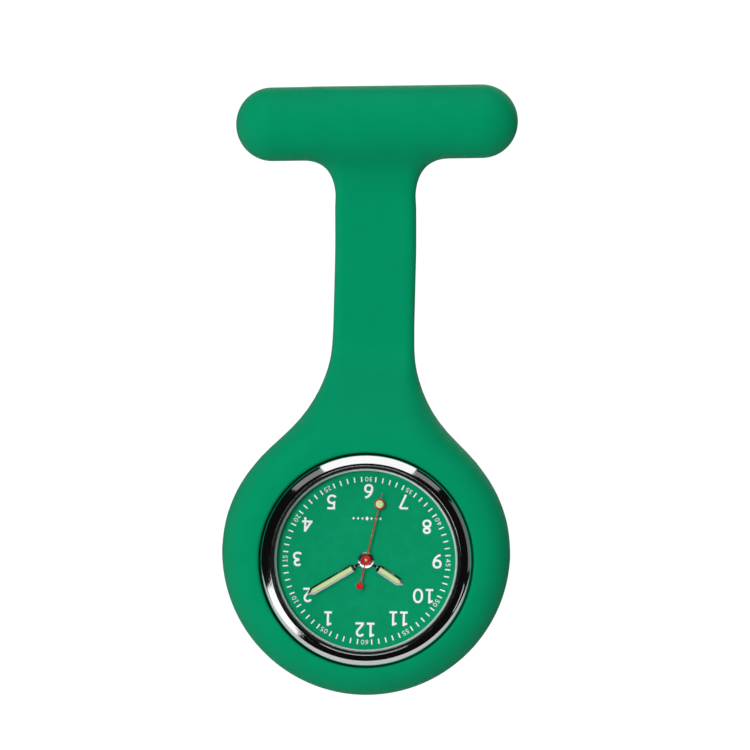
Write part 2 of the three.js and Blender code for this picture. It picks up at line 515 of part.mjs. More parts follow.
// Intermediate wheel, 30 teeth, pinion 6, between the rotor and the seconds wheel.
movement.add(mesh("intermediate_wheel", join(
  prism(gearShape(30, 1.49, 1.7, gapTowards(FIFTH, ROTOR, 30), 0, ...FIFTH), 2.1, 2.25),
  prism(gearShape(6, 0.37, 0.66, towards(FIFTH, C0), 0.1, ...FIFTH), 1.15, 1.47),
  arbor([[0, 0.64], [0.1, 0.64], [0.1, 2.8], [0.1, 3.15], [0, 3.15]], FIFTH, 6),
), "plastic"));
// Rotor: magnet disc and pinion of 5.
movement.add(mesh("rotor", join(
  disc(0.65, 1.52, 1.98, 14, ...ROTOR),
  prism(gearShape(5, 0.17, 0.36, towards(ROTOR, FIFTH), 0.1, ...ROTOR), 1.98, 2.35),
  arbor([[0, 0.64], [0.08, 0.64], [0.08, 2.8], [0.08, 3.15], [0, 3.15]], ROTOR, 6),
), "iron"));
// Motion work on the dial side: minute wheel 30/8, hour wheel 32, setting wheel 14.
movement.add(mesh("minute_wheel", cut(
  join(
    prism(gearShape(30, 1.4, 1.58, gapTowards(MINUTE_POST, C0, 30), 0, ...MINUTE_POST), 3.36, 3.5),
    prism(gearShape(8, 0.32, 0.48, towards(MINUTE_POST, C0), 0, ...MINUTE_POST), 3.5, 3.9),
  ),
  disc(0.235, 3, 5, 8, ...MINUTE_POST),
), "brass"));
movement.add(mesh("hour_wheel", cut(
  join(prism(gearShape(32, 1.5, 1.68, gapTowards(C0, MINUTE_POST, 32)), 3.66, 3.84), disc(0.75, 3.66, 5.0, 14)),
  disc(0.5, 3, 6, 12),
), "brass"));
movement.add(mesh("setting_wheel", cut(
  prism(gearShape(14, 0.6, 0.78, towards(SETTING_POST, MINUTE_POST), 0, ...SETTING_POST), 3.38, 3.5),
  disc(0.235, 3, 5, 8, ...SETTING_POST),
), "steel"));
movement.add(mesh("dial_washer", disc(1.5, 3.9, 3.97, 14, 0, 0, 0.82), "brass"));

// ---------------------------------------------------------------- motor and electrics
const stator = cut(
  join(prism(roundedRect(-7.6, 7.6, 3.35, 4.65, 0.4), 1.52, 1.98), disc(1.3, 1.52, 1.98, 16, ...ROTOR)),
  disc(0.85, 1, 3, 16, ...ROTOR),
  ...STATOR_SCREWS.map((p) => disc(0.36, 1, 3, 8, ...p)),
);
movement.add(mesh("stator", stator, "iron"));
const core = cut(
  join(
    prism(roundedRect(-7.6, 7.6, 5.85, 6.55, 0.2), 1.05, 1.47, { curveSegments: 1 }),
    prism(roundedRect(-7.6, -6.2, 3.35, 6.55, 0.4), 1.05, 1.47, { curveSegments: 2 }),
    prism(roundedRect(6.2, 7.6, 3.35, 6.55, 0.4), 1.05, 1.47, { curveSegments: 2 }),
  ),
  ...STATOR_SCREWS.map((p) => disc(0.36, 0, 3, 8, ...p)),
);
movement.add(mesh("coil_core", core, "iron"));
// Copper winding: a rounded block along X with a passage for the core.
const windingSection = roundedRect(-0.64, 0.64, -1.1, 1.1, 0.5); // depth across h, width across z
const winding = cut(
  toSolid(new THREE.ExtrudeGeometry(windingSection, { depth: 10.8, bevelEnabled: false, curveSegments: 4 })
    .applyMatrix4(new THREE.Matrix4().set(0, 0, 1, -5.4, 1, 0, 0, -1.26, 0, 1, 0, 6.2, 0, 0, 0, 1))),
  block(-6, 6, -1.51, -1.01, 5.8, 6.6),
);
movement.add(mesh("coil_winding", winding, "copper"));

movement.add(mesh("circuit_board", cut(
  prism(roundedRect(5.6, 8.75, -4.3, 2.95, 0.5), 1.0, 1.25),
  disc(0.36, 0, 3, 8, ...BOARD_SCREW),
), "board"));
movement.add(mesh("ic_chip", turned([[0, 0.5], [0.6, 0.55], [1.0, 0.75], [1.05, 0.97], [0, 0.97]], 12, 7.0, -1.1), "blackPlastic"));
movement.add(mesh("quartz_crystal_can", toSolid(new THREE.CylinderGeometry(0.75, 0.75, 5.6, 14).rotateX(Math.PI / 2).translate(7.55, -2.06, -2.9)), "steel"));
movement.add(mesh("battery", turned([
  [0, 0.62], [3.25, 0.62], [3.4, 0.77], [3.4, 2.8], [3.25, 2.95], [2.9, 2.97], [2.85, 3.22], [0, 3.22],
], 24, ...BATTERY), "steel"));
movement.add(mesh("battery_contact", prism(roundedRect(-8.0, -3.3, -4.9, -3.7, 0.5), 3.26, 3.36), "brass"));
movement.add(mesh("battery_clamp", cut(
  join(prism(capsule(-7.9, -3.3, -1.2, -6.9, 1.0), 0.32, 0.54)),
  disc(0.36, 0, 2, 8, ...CLAMP_SCREW),
), "steel"));

export default fobWatch;
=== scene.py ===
import math
import bpy
import bmesh
import numpy as np
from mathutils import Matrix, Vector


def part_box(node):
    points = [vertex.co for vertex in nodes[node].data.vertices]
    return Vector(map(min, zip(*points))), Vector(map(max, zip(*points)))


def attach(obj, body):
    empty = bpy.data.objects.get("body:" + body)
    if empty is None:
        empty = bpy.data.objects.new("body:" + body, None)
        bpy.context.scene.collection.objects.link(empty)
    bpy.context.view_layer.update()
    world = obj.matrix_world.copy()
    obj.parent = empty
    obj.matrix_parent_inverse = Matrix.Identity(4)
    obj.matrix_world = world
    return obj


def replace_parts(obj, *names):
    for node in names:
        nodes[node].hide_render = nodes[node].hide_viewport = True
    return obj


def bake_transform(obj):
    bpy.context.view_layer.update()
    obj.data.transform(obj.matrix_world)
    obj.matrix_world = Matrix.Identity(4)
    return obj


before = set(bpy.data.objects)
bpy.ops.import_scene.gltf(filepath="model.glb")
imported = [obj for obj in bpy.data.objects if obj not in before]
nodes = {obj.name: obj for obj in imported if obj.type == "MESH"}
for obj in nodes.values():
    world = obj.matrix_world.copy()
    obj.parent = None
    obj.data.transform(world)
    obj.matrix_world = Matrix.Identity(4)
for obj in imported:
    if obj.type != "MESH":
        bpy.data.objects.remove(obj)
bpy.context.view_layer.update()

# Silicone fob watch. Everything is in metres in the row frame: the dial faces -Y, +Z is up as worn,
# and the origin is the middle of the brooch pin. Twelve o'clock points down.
import openvdb
from mathutils import Matrix, Vector

MM = 0.001

# ---------------------------------------------------------------- places taken from the frame
case_lo, case_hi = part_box("case_body")
HX = (case_lo.x + case_hi.x) / 2 / MM
HZ = (case_lo.z + case_hi.z) / 2 / MM
CASE_BACK_Y = case_hi.y / MM          # rear rim of the case; heights h run towards the front
CASE_R = (case_hi.x - case_lo.x) / 2 / MM
top_lo, top_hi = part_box("sleeve_top")
BAR_HALF_LENGTH = (top_hi.x - top_lo.x) / 2 / MM
BAR_HALF_HEIGHT = top_hi.z / MM
BAR_FRONT = top_lo.y / MM
BACK_Y = top_hi.y / MM
pocket_lo, pocket_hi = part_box("sleeve_pocket")
lip_lo, lip_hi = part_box("sleeve_front_lip")
POCKET_R = (pocket_hi.x - pocket_lo.x) / 2 / MM
POCKET_Z = pocket_lo.z / MM + POCKET_R
POCKET_FRONT = lip_lo.y / MM
web_lo, web_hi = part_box("sleeve_flex_web")
STRAP_HALF_WIDTH = web_hi.x / MM
STRAP_BACK = web_hi.y / MM
STRAP_FRONT = web_lo.y / MM
dial_lo, dial_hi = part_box("dial")
DIAL_H = CASE_BACK_Y - dial_lo.y / MM  # height of the dial face


def link(obj):
    bpy.context.scene.collection.objects.link(obj)
    return obj


def mesh_object(name, verts, faces, mat=None, smooth=True):
    me = bpy.data.meshes.new(name)
    me.from_pydata([tuple(v) for v in verts], [], [tuple(f) for f in faces])
    me.validate()
    me.update()
    if smooth:
        for p in me.polygons:
            p.use_smooth = True
    obj = bpy.data.objects.new(name, me)
    if mat:
        me.materials.append(mat)
    return link(obj)


def head_point(x, z, h):
    """Millimetres in the head's own frame to metres in the row frame."""
    return Vector(((HX + x) * MM, (CASE_BACK_Y - h) * MM, (HZ + z) * MM))


# ---------------------------------------------------------------- material kit
class Nodes:
    """Small helper that keeps a material's node tree readable."""

    def __init__(self, name):
        self.m = bpy.data.materials.new(name)
        self.m.use_nodes = True
        self.t = self.m.node_tree
        self.t.nodes.clear()
        self.out = self.t.nodes.new("ShaderNodeOutputMaterial")
        self.b = self.t.nodes.new("ShaderNodeBsdfPrincipled")
        self.t.links.new(self.b.outputs[0], self.out.inputs[0])
        self.coord = self.t.nodes.new("ShaderNodeTexCoord")

    def set(self, **kw):
        for k, v in kw.items():
            self.b.inputs[k.replace("_", " ")].default_value = v
        return self

    def noise(self, scale, detail=3.0, rough=0.5, stretch=(1, 1, 1), offset=(0, 0, 0), distortion=0.0):
        mp = self.t.nodes.new("ShaderNodeMapping")
        mp.inputs["Scale"].default_value = stretch
        mp.inputs["Location"].default_value = offset
        self.t.links.new(self.coord.outputs["Object"], mp.inputs["Vector"])
        n = self.t.nodes.new("ShaderNodeTexNoise")
        n.inputs["Scale"].default_value = scale
        n.inputs["Detail"].default_value = detail
        n.inputs["Roughness"].default_value = rough
        n.inputs["Distortion"].default_value = distortion
        self.t.links.new(mp.outputs[0], n.inputs["Vector"])
        return n.outputs["Fac"]

    def ramp(self, fac, stops, interpolation="LINEAR"):
        r = self.t.nodes.new("ShaderNodeValToRGB")
        r.color_ramp.interpolation = interpolation
        e = r.color_ramp.elements
        while len(e) > 1:
            e.remove(e[-1])
        for i, (p, c) in enumerate(stops):
            el = e[0] if i == 0 else e.new(p)
            el.position = p
            el.color = (*c, 1) if isinstance(c, (tuple, list)) else (c, c, c, 1)
        self.t.links.new(fac, r.inputs[0])
        return r.outputs[0]

    def map(self, fac, lo, hi, a, b):
        n = self.t.nodes.new("ShaderNodeMapRange")
        n.inputs[1].default_value, n.inputs[2].default_value = lo, hi
        n.inputs[3].default_value, n.inputs[4].default_value = a, b
        self.t.links.new(fac, n.inputs[0])
        return n.outputs[0]

    def mix(self, fac, a, b, blend="MIX"):
        n = self.t.nodes.new("ShaderNodeMix")
        n.data_type = "RGBA"
        n.blend_type = blend
        for socket, v in ((n.inputs[0], fac), (n.inputs[6], a), (n.inputs[7], b)):
            if hasattr(v, "is_linked") or hasattr(v, "links"):
                self.t.links.new(v, socket)
            elif isinstance(v, (int, float)):
                socket.default_value = v
            else:
                socket.default_value = (*v, 1)
        return n.outputs[2]

    def math(self, op, a, b=0.0):
        n = self.t.nodes.new("ShaderNodeMath")
        n.operation = op
        for i, v in enumerate((a, b)):
            if isinstance(v, (int, float)):
                n.inputs[i].default_value = v
            else:
                self.t.links.new(v, n.inputs[i])
        return n.outputs[0]

    def color(self, socket):
        self.t.links.new(socket, self.b.inputs["Base Color"])
        return self

    def rough(self, socket):
        self.t.links.new(socket, self.b.inputs["Roughness"])
        return self

    def bump(self, height, distance, strength=1.0):
        n = self.t.nodes.new("ShaderNodeBump")
        n.inputs["Distance"].default_value = distance
        n.inputs["Strength"].default_value = strength
        self.t.links.new(height, n.inputs["Height"])
        if self.b.inputs["Normal"].is_linked:
            self.t.links.new(self.b.inputs["Normal"].links[0].from_socket, n.inputs["Normal"])
        self.t.links.new(n.outputs[0], self.b.inputs["Normal"])
        return self


def srgb(r, g, b):
    def f(c):
        c /= 255
        return c / 12.92 if c <= 0.04045 else ((c + 0.055) / 1.055) ** 2.4
    return (f(r), f(g), f(b))


def shade(c, k):
    return tuple(min(1.0, x * k) for x in c)


def silicone(name, base):
    n = Nodes(name)
    cloud = n.noise(260, 4, 0.55)
    tone = n.ramp(cloud, [(0.25, shade(base, 0.965)), (0.5, base), (0.75, shade(base, 1.03))])
    dust = n.noise(5200, 2, 0.6, offset=(0.3, 0.1, 0.7))
    n.color(n.mix(n.map(dust, 0.72, 0.80, 0.0, 0.1), tone, shade(base, 1.3)))
    n.rough(n.map(n.noise(900, 3), 0.3, 0.7, 0.55, 0.68))
    n.bump(n.noise(14000, 2, 0.5), 0.000006, 0.5)
    n.bump(n.noise(700, 2, 0.4, offset=(2, 1, 0)), 0.00002, 0.25)
    n.set(Specular_IOR_Level=0.06)
    return n.m


def metal(name, base, rough=0.2, grain=0.0, stretch=(1, 1, 1), variation=0.06, scale=2500, bump=0.000004):
    n = Nodes(name)
    n.set(Metallic=1.0)
    cloud = n.noise(350, 3, 0.5, stretch=stretch)
    n.color(n.ramp(cloud, [(0.3, shade(base, 1 - variation)), (0.7, shade(base, 1 + variation * 0.6))]))
    brush = n.noise(scale, 3, 0.6, stretch=stretch)
    n.rough(n.map(brush, 0.3, 0.7, max(0.01, rough - 0.06 - grain * 0.1), rough + 0.05 + grain * 0.15))
    if grain > 0:
        n.bump(brush, bump, grain)
    return n.m


def plastic(name, base, rough=0.45, spec=0.4, mould=0.4):
    n = Nodes(name)
    cloud = n.noise(500, 3)
    n.color(n.ramp(cloud, [(0.3, shade(base, 0.93)), (0.7, shade(base, 1.05))]))
    n.rough(n.map(n.noise(3000, 3), 0.3, 0.7, rough - 0.06, rough + 0.08))
    n.bump(n.noise(9000, 2), 0.000005, mould)
    n.set(Specular_IOR_Level=spec)
    return n.m


GREEN = srgb(0, 143, 97)
M = {}
M["silicone"] = silicone("green_silicone", GREEN)


def chrome_material():
    n = Nodes("polished_chrome")
    n.set(Metallic=1.0)
    smear = n.noise(160, 3, 0.5, offset=(0.4, 0, 0.2))
    n.color(n.ramp(smear, [(0.3, (0.86, 0.87, 0.88)), (0.7, (0.93, 0.935, 0.94))]))
    fine_marks = n.noise(2600, 4, 0.7, stretch=(1, 1, 0.2), distortion=0.3)
    n.rough(n.map(fine_marks, 0.35, 0.75, 0.03, 0.085))
    n.bump(n.noise(420, 2, 0.5, offset=(1, 5, 2)), 0.000004, 0.5)
    return n.m


M["chrome"] = chrome_material()
M["steel"] = metal("nickelled_steel", (0.78, 0.785, 0.79), 0.26, 0.3, (1, 1, 0.06), 0.04, 6000, 0.000002)
M["brooch"] = metal("brooch_steel", (0.74, 0.745, 0.75), 0.27, 0.3, (0.04, 1, 1), 0.03, 9000, 0.0000015)
M["satin_ring"] = plastic("silvered_ring", (0.58, 0.61, 0.62), 0.32, 0.6, 0.3)
M["brass"] = metal("rolled_brass", (0.83, 0.62, 0.27), 0.28, 0.3, (1, 1, 0.1))
M["pin"] = metal("polished_pin_steel", (0.82, 0.82, 0.825), 0.14, 0.2, (0.04, 1, 1), 0.03, 8000, 0.000001)
M["iron"] = metal("soft_iron", (0.46, 0.465, 0.48), 0.36, 0.4, (0.1, 1, 1))
M["copper"] = metal("copper_leaf", (0.78, 0.36, 0.17), 0.3, 0.3)
M["plastic"] = plastic("movement_plastic", srgb(232, 229, 218), 0.5)
M["black_plastic"] = plastic("black_plastic", srgb(20, 22, 24), 0.4)
M["gasket"] = plastic("nitrile_gasket", srgb(24, 24, 26), 0.6, 0.3)
M["wheel_plastic"] = plastic("wheel_plastic", srgb(240, 205, 120), 0.35, 0.5)


def turned_metal(name, base, rough, cx, cz):
    """Steel faced on a lathe: fine lines that run round the head's axis, and a few longer scuffs."""
    n = Nodes(name)
    n.set(Metallic=1.0)
    split = n.t.nodes.new("ShaderNodeSeparateXYZ")
    n.t.links.new(n.coord.outputs["Object"], split.inputs[0])
    x, z = n.math("SUBTRACT", split.outputs[0], cx), n.math("SUBTRACT", split.outputs[2], cz)
    radius = n.math("SQRT", n.math("ADD", n.math("MULTIPLY", x, x), n.math("MULTIPLY", z, z)))
    joinxyz = n.t.nodes.new("ShaderNodeCombineXYZ")
    n.t.links.new(radius, joinxyz.inputs[0])
    n.t.links.new(n.math("MULTIPLY", n.math("ARCTAN2", z, x), 0.00012), joinxyz.inputs[1])
    lines = n.t.nodes.new("ShaderNodeTexNoise")
    lines.inputs["Scale"].default_value = 7000
    lines.inputs["Detail"].default_value = 3
    lines.inputs["Roughness"].default_value = 0.65
    n.t.links.new(joinxyz.outputs[0], lines.inputs["Vector"])
    fine = lines.outputs["Fac"]
    cloud = n.noise(220, 3, 0.5)
    tone = n.ramp(cloud, [(0.3, shade(base, 0.96)), (0.7, shade(base, 1.03))])
    n.color(n.mix(n.map(fine, 0.3, 0.7, 0.0, 0.22), tone, shade(base, 0.86)))
    scuff = n.noise(900, 4, 0.7, stretch=(1, 1, 0.12), offset=(3, 0, 1), distortion=0.5)
    worn = n.map(scuff, 0.66, 0.78, 0.0, 0.10)
    n.rough(n.math("ADD", n.map(fine, 0.3, 0.7, rough - 0.04, rough + 0.06), worn))
    n.bump(fine, 0.0000016, 0.4)
    return n.m


M["back"] = turned_metal("turned_back_steel", (0.78, 0.785, 0.79), 0.26, HX * MM, HZ * MM)


def lume_material():
    n = Nodes("luminous_paint")
    grain = n.noise(7000, 3, 0.6)
    n.color(n.ramp(grain, [(0.3, srgb(196, 220, 150)), (0.7, srgb(214, 234, 172))]))
    n.rough(n.map(grain, 0.3, 0.7, 0.75, 0.9))
    n.bump(n.noise(11000, 2), 0.00001, 0.6)
    n.set(Specular_IOR_Level=0.2)
    return n.m


def lacquer(name, base, rough, spec=0.5):
    n = Nodes(name)
    n.color(n.ramp(n.noise(900, 2), [(0.3, shade(base, 0.94)), (0.7, shade(base, 1.05))]))
    n.rough(n.map(n.noise(5000, 2), 0.3, 0.7, rough - 0.04, rough + 0.05))
    n.bump(n.noise(8000, 2), 0.000003, 0.5)
    n.set(Specular_IOR_Level=spec)
    return n.m


M["lume"] = lume_material()
M["red"] = lacquer("red_lacquer", srgb(176, 16, 26), 0.28)
M["dial"] = lacquer("dial_lacquer", srgb(0, 150, 102), 0.5, 0.15)
M["print"] = lacquer("white_dial_print", srgb(250, 251, 250), 0.6, 0.2)
M["board"] = lacquer("solder_mask", srgb(20, 95, 52), 0.35)


def glass_material():
    n = Nodes("mineral_crystal")
    n.set(Roughness=0.0, IOR=1.45, Transmission_Weight=1.0)
    n.b.inputs["Base Color"].default_value = (0.985, 1.0, 0.995, 1)
    smear = n.noise(90, 3, 0.55)
    n.rough(n.map(smear, 0.35, 0.8, 0.0, 0.012))
    # lamp rays pass straight through, so the dial is lit as it is behind thin glass
    clear = n.t.nodes.new("ShaderNodeBsdfTransparent")
    path = n.t.nodes.new("ShaderNodeLightPath")
    shown = n.b.outputs[0]
    for ray in ("Is Shadow Ray", "Is Diffuse Ray"):
        both = n.t.nodes.new("ShaderNodeMixShader")
        n.t.links.new(path.outputs[ray], both.inputs[0])
        n.t.links.new(shown, both.inputs[1])
        n.t.links.new(clear.outputs[0], both.inputs[2])
        shown = both.outputs[0]
    n.t.links.new(shown, n.out.inputs[0])
    return n.m


M["glass"] = glass_material()

# ---------------------------------------------------------------- silicone hanger
# Half widths of the strap, its flare and the pocket against height, in millimetres.
PROFILE = [
    (-12.0, 5.71), (-15.4, 5.71), (-22, 5.70), (-29.0, 5.71), (-31.14, 5.76), (-32.57, 5.83), (-34.0, 5.99), (-35.43, 6.30),
    (-36.86, 6.75), (-38.29, 7.31), (-39.71, 8.01), (-41.14, 8.85), (-42.57, 9.88), (-44.0, 11.12), (-45.43, 12.55),
    (-46.86, 14.02), (-48.29, 15.38), (-49.71, 16.50), (-50.86, 17.33), (-52.0, 18.03), (-53.14, 18.64), (-54.29, 19.15),
    (-55.43, 19.57), (-56.57, 19.93), (-57.71, 20.19), (-58.86, 20.38), (-60.0, 20.50),
]


def smooth01(t):
    t = np.clip(t, 0, 1)
    return t * t * (3 - 2 * t)


def outline_polygon():
    side = []
    for z, w in PROFILE:
        side.append((w + 0.11 - 0.06 * float(smooth01((-z - 34) / 12)), z + 0.1 * float(smooth01((-z - 40) / 18))))
    for k in range(0, 91):
        a = math.radians(k)
        side.append(((POCKET_R + 0.09) * math.cos(a), POCKET_Z + 0.1 - (POCKET_R + 0.09) * math.sin(a)))
    top = [(STRAP_HALF_WIDTH, 8.0), (STRAP_HALF_WIDTH, -10.0)]
    right = top + side
    left = [(-x, z) for x, z in reversed(right[:-1])]
    return np.array(right + left)


def signed_distance_2d(poly, px, pz):
    """Signed distance (negative inside) of points to a closed polygon."""
    a = poly
    b = np.roll(poly, -1, 0)
    d2 = np.full(px.shape, 1e9)
    inside = np.zeros(px.shape, bool)
    for (ax, az), (bx, bz) in zip(a, b):
        ex, ez = bx - ax, bz - az
        ll = ex * ex + ez * ez
        if ll < 1e-12:
            continue
        t = np.clip(((px - ax) * ex + (pz - az) * ez) / ll, 0, 1)
        dx, dz = px - ax - t * ex, pz - az - t * ez
        d2 = np.minimum(d2, dx * dx + dz * dz)
        cross = ((az > pz) != (bz > pz)) & (px < ex * (pz - az) / (ez if abs(ez) > 1e-12 else 1e-12) + ax)
        inside ^= cross
    d = np.sqrt(d2)
    return np.where(inside, -d, d)


def smin(a, b, k):
    h = np.clip(0.5 + 0.5 * (b - a) / k, 0, 1)
    return b * (1 - h) + a * h - k * h * (1 - h)


def silicone_field(step):
    x = np.arange(-21.6, 21.6 + step, step)
    y = np.arange(-13.4, -1.4 + step, step)
    z = np.arange(-83.4, 6.6 + step, step)
    X2, Z2 = np.meshgrid(x, z, indexing="ij")
    X2 = X2 - 0.28 * smooth01((-Z2 - 6) / 14) * (1 - smooth01((-Z2 - 30) / 16))      # the strap bows very slightly
    e = -signed_distance_2d(outline_polygon(), X2, Z2)          # depth inside the outline
    t = smooth01((-Z2 - 31.0) / 15.5)                            # 0 on the strap, 1 on the pocket
    front = STRAP_FRONT + (POCKET_FRONT - STRAP_FRONT) * t
    back = STRAP_BACK + (BACK_Y - STRAP_BACK) * t
    rf, hf = 1.35 + 3.1 * t, 1.3 + 3.9 * t
    rb, hb = 0.9 + 1.2 * t, 0.9 + 1.6 * t
    Y = y[None, :, None]
    E, F, B = e[:, None, :], front[:, None, :], back[:, None, :]
    RF, HF, RB, HB = rf[:, None, :], hf[:, None, :], rb[:, None, :], hb[:, None, :]
    uf, vf = (RF - E) / RF, (F + HF - Y) / HF
    ff = RF * (np.sqrt(np.maximum(uf, 0) ** 2 + np.maximum(vf, 0) ** 2) - 1)
    ff = np.where((uf <= 0) & (vf <= 0), np.maximum(uf, vf) * RF - RF, ff)
    ub, vb = (RB - E) / RB, (Y - (B - HB)) / HB
    fb = RB * (np.sqrt(np.maximum(ub, 0) ** 2 + np.maximum(vb, 0) ** 2) - 1)
    fb = np.where((ub <= 0) & (vb <= 0), np.maximum(ub, vb) * RB - RB, fb)
    lower = np.maximum(ff, fb)
    lower = np.maximum(lower, (Z2 - 1.0)[:, None, :])
    # bar: crowned front, flatter back
    reach = BAR_HALF_LENGTH - BAR_HALF_HEIGHT
    # the soft bar hangs a little off square to the strap
    lean = math.radians(2.3)
    XB = X2 * math.cos(lean) + (Z2 - 0.05) * math.sin(lean)
    ZB = (-X2 * math.sin(lean) + (Z2 - 0.05) * math.cos(lean)) / 1.02
    dx = np.maximum(np.abs(XB) - reach - 0.2, 0)
    r2 = np.sqrt(dx ** 2 + ZB ** 2)[:, None, :]
    yc = BACK_Y - 2.7
    af = np.clip((yc - Y) / (yc - BAR_FRONT), 0, 9)
    ab = np.clip((Y - yc) / (BACK_Y - yc), 0, 9)
    rr = r2 / BAR_HALF_HEIGHT
    pf, pb = 2.15, 3.4
    gf = (rr ** pf + af ** pf) ** (1 / pf)
    gb = (rr ** pb + ab ** pb) ** (1 / pb)
    bar = np.where(Y < yc, gf, gb)
    bar = (bar - 1) * 4.3
    f = smin(bar, lower, 4.85)
    f = np.where(Z2[:, None, :] < -14.0, lower, f)
    # flat back
    a, b, k = f, Y - BACK_Y, 0.5
    h = np.clip(0.5 - 0.5 * (b - a) / k, 0, 1)
    f = b * (1 - h) + a * h + k * h * (1 - h)
    return x, y, z, f.astype(np.float32)


def surface_of(step):
    x, y, z, f = silicone_field(step)
    grid = openvdb.FloatGrid()
    grid.copyFromArray(np.ascontiguousarray(f))
    points, tris, quads = grid.convertToPolygons(isovalue=0.0, adaptivity=0.0)
    points = np.array(points, float) * step + np.array([x[0], y[0], z[0]])
    faces = [tuple(int(i) for i in q) for q in quads] + [tuple(int(i) for i in q) for q in tris]
    return points * MM, faces


def lathe(name, profile, segments, mat=None, axis_x=0.0, axis_z=0.0, smooth=True):
    """Turned piece about the Y axis. profile holds (radius, height h) in millimetres, closed on itself or on the axis."""
    pts = list(profile)
    on_axis = pts[0][0] == 0 and pts[-1][0] == 0
    verts, faces, rings = [], [], []
    for r, h in pts:
        if r == 0:
            rings.append([len(verts)])
            verts.append(head_point(axis_x, axis_z, h))
        else:
            start = len(verts)
            for i in range(segments):
                a = 2 * math.pi * i / segments
                verts.append(head_point(axis_x + r * math.cos(a), axis_z + r * math.sin(a), h))
            rings.append(list(range(start, start + segments)))
    pairs = list(zip(rings[:-1], rings[1:]))
    if not on_axis:
        pairs.append((rings[-1], rings[0]))
    for p, q in pairs:
        for i in range(segments):
            j = (i + 1) % segments
            if len(p) == 1 and len(q) == 1:
                continue
            if len(p) == 1:
                faces.append((p[0], q[j], q[i]))
            elif len(q) == 1:
                faces.append((p[i], p[j], q[0]))
            else:
                faces.append((p[i], p[j], q[j], q[i]))
    obj = mesh_object(name, verts, faces, mat, smooth)
    bm = bmesh.new()
    bm.from_mesh(obj.data)
    bmesh.ops.recalc_face_normals(bm, faces=bm.faces)
    bm.to_mesh(obj.data)
    bm.free()
    return obj


def arc(cx, cy, r, a0, a1, n):
    """Points on a profile arc, angles in degrees, radius axis first and height second."""
    return [(cx + r * math.cos(math.radians(a0 + (a1 - a0) * i / n)), cy + r * math.sin(math.radians(a0 + (a1 - a0) * i / n))) for i in range(n + 1)]


def sharp_edges(obj, degrees=35):
    """Smooth shading with edges above an angle kept sharp."""
    me = obj.data
    for p in me.polygons:
        p.use_smooth = True
    bm = bmesh.new()
    bm.from_mesh(me)
    for e in bm.edges:
        if len(e.link_faces) == 2:
            e.smooth = e.calc_face_angle(0.0) < math.radians(degrees)
    bm.to_mesh(me)
    bm.free()
    return obj


def boolean(target, cutter, operation="DIFFERENCE", solver="EXACT"):
    md = target.modifiers.new("cut", "BOOLEAN")
    md.operation = operation
    md.solver = solver
    md.object = cutter
    dg = bpy.context.evaluated_depsgraph_get()
    me = bpy.data.meshes.new_from_object(target.evaluated_get(dg))
    target.modifiers.remove(md)
    old = target.data
    target.data = me
    bpy.data.meshes.remove(old)
    bpy.data.objects.remove(cutter)
    return target


def prism(name, outline, h0, h1, mat=None, to_point=head_point):
    """Straight extrusion of an XZ outline (millimetres) between heights h0 and h1."""
    n = len(outline)
    verts = [to_point(x, z, h0) for x, z in outline] + [to_point(x, z, h1) for x, z in outline]
    faces = [tuple(range(n)), tuple(range(2 * n - 1, n - 1, -1))]
    faces += [(i, i + n, (i + 1) % n + n, (i + 1) % n) for i in range(n)]
    obj = mesh_object(name, verts, faces, mat, False)
    bm = bmesh.new()
    bm.from_mesh(obj.data)
    bmesh.ops.recalc_face_normals(bm, faces=bm.faces)
    bm.to_mesh(obj.data)
    bm.free()
    return obj


def stadium(cx, cz, hx, hz, r, n=8):
    pts = []
    for qx, qz, a0 in ((1, -1, -90), (1, 1, 0), (-1, 1, 90), (-1, -1, 180)):
        for i in range(n + 1):
            a = math.radians(a0 + 90 * i / n)
            pts.append((cx + qx * (hx - r) + r * math.cos(a), cz + qz * (hz - r) + r * math.sin(a)))
    return pts


def row_point(x, z, h):
    return Vector((x * MM, -h * MM, z * MM))


hanger_points, hanger_faces = surface_of(0.3)
sleeve = mesh_object("silicone_hanger", hanger_points, hanger_faces, M["silicone"])

# Window for the bezel, seat of the case and rear window, cut as one turned shape with rounded rims.
front_h = CASE_BACK_Y - POCKET_FRONT
under_h = CASE_BACK_Y - lip_hi.y / MM
WINDOW_R = 15.35
lip_r = 0.45
cutter_profile = (
    [(0, -3.0), (15.5, -3.0), (15.5, -1.5)]
    + [(14.9 + 0.6 * (1 - math.sin(math.radians(a))), -1.2 + 0.6 * (1 - math.cos(math.radians(a)))) for a in (0, 30, 60, 90)]
    + [(14.9, -0.14), (CASE_R + 0.06, -0.12), (CASE_R + 0.06, under_h - 0.5), (CASE_R - 0.3, under_h + 0.02), (WINDOW_R, under_h + 0.03)]
    + [(WINDOW_R, front_h - lip_r)]
    + [(WINDOW_R + lip_r * (1 - math.cos(math.radians(a))), front_h - lip_r + lip_r * math.sin(math.radians(a))) for a in (15, 30, 45, 60, 75, 88)]
    + [(WINDOW_R + lip_r + 0.25, front_h + 0.25), (WINDOW_R + lip_r + 0.3, front_h + 1.5), (0, front_h + 1.5)]
)
cutter = lathe("window_cutter", cutter_profile, 192, None)
boolean(sleeve, cutter)

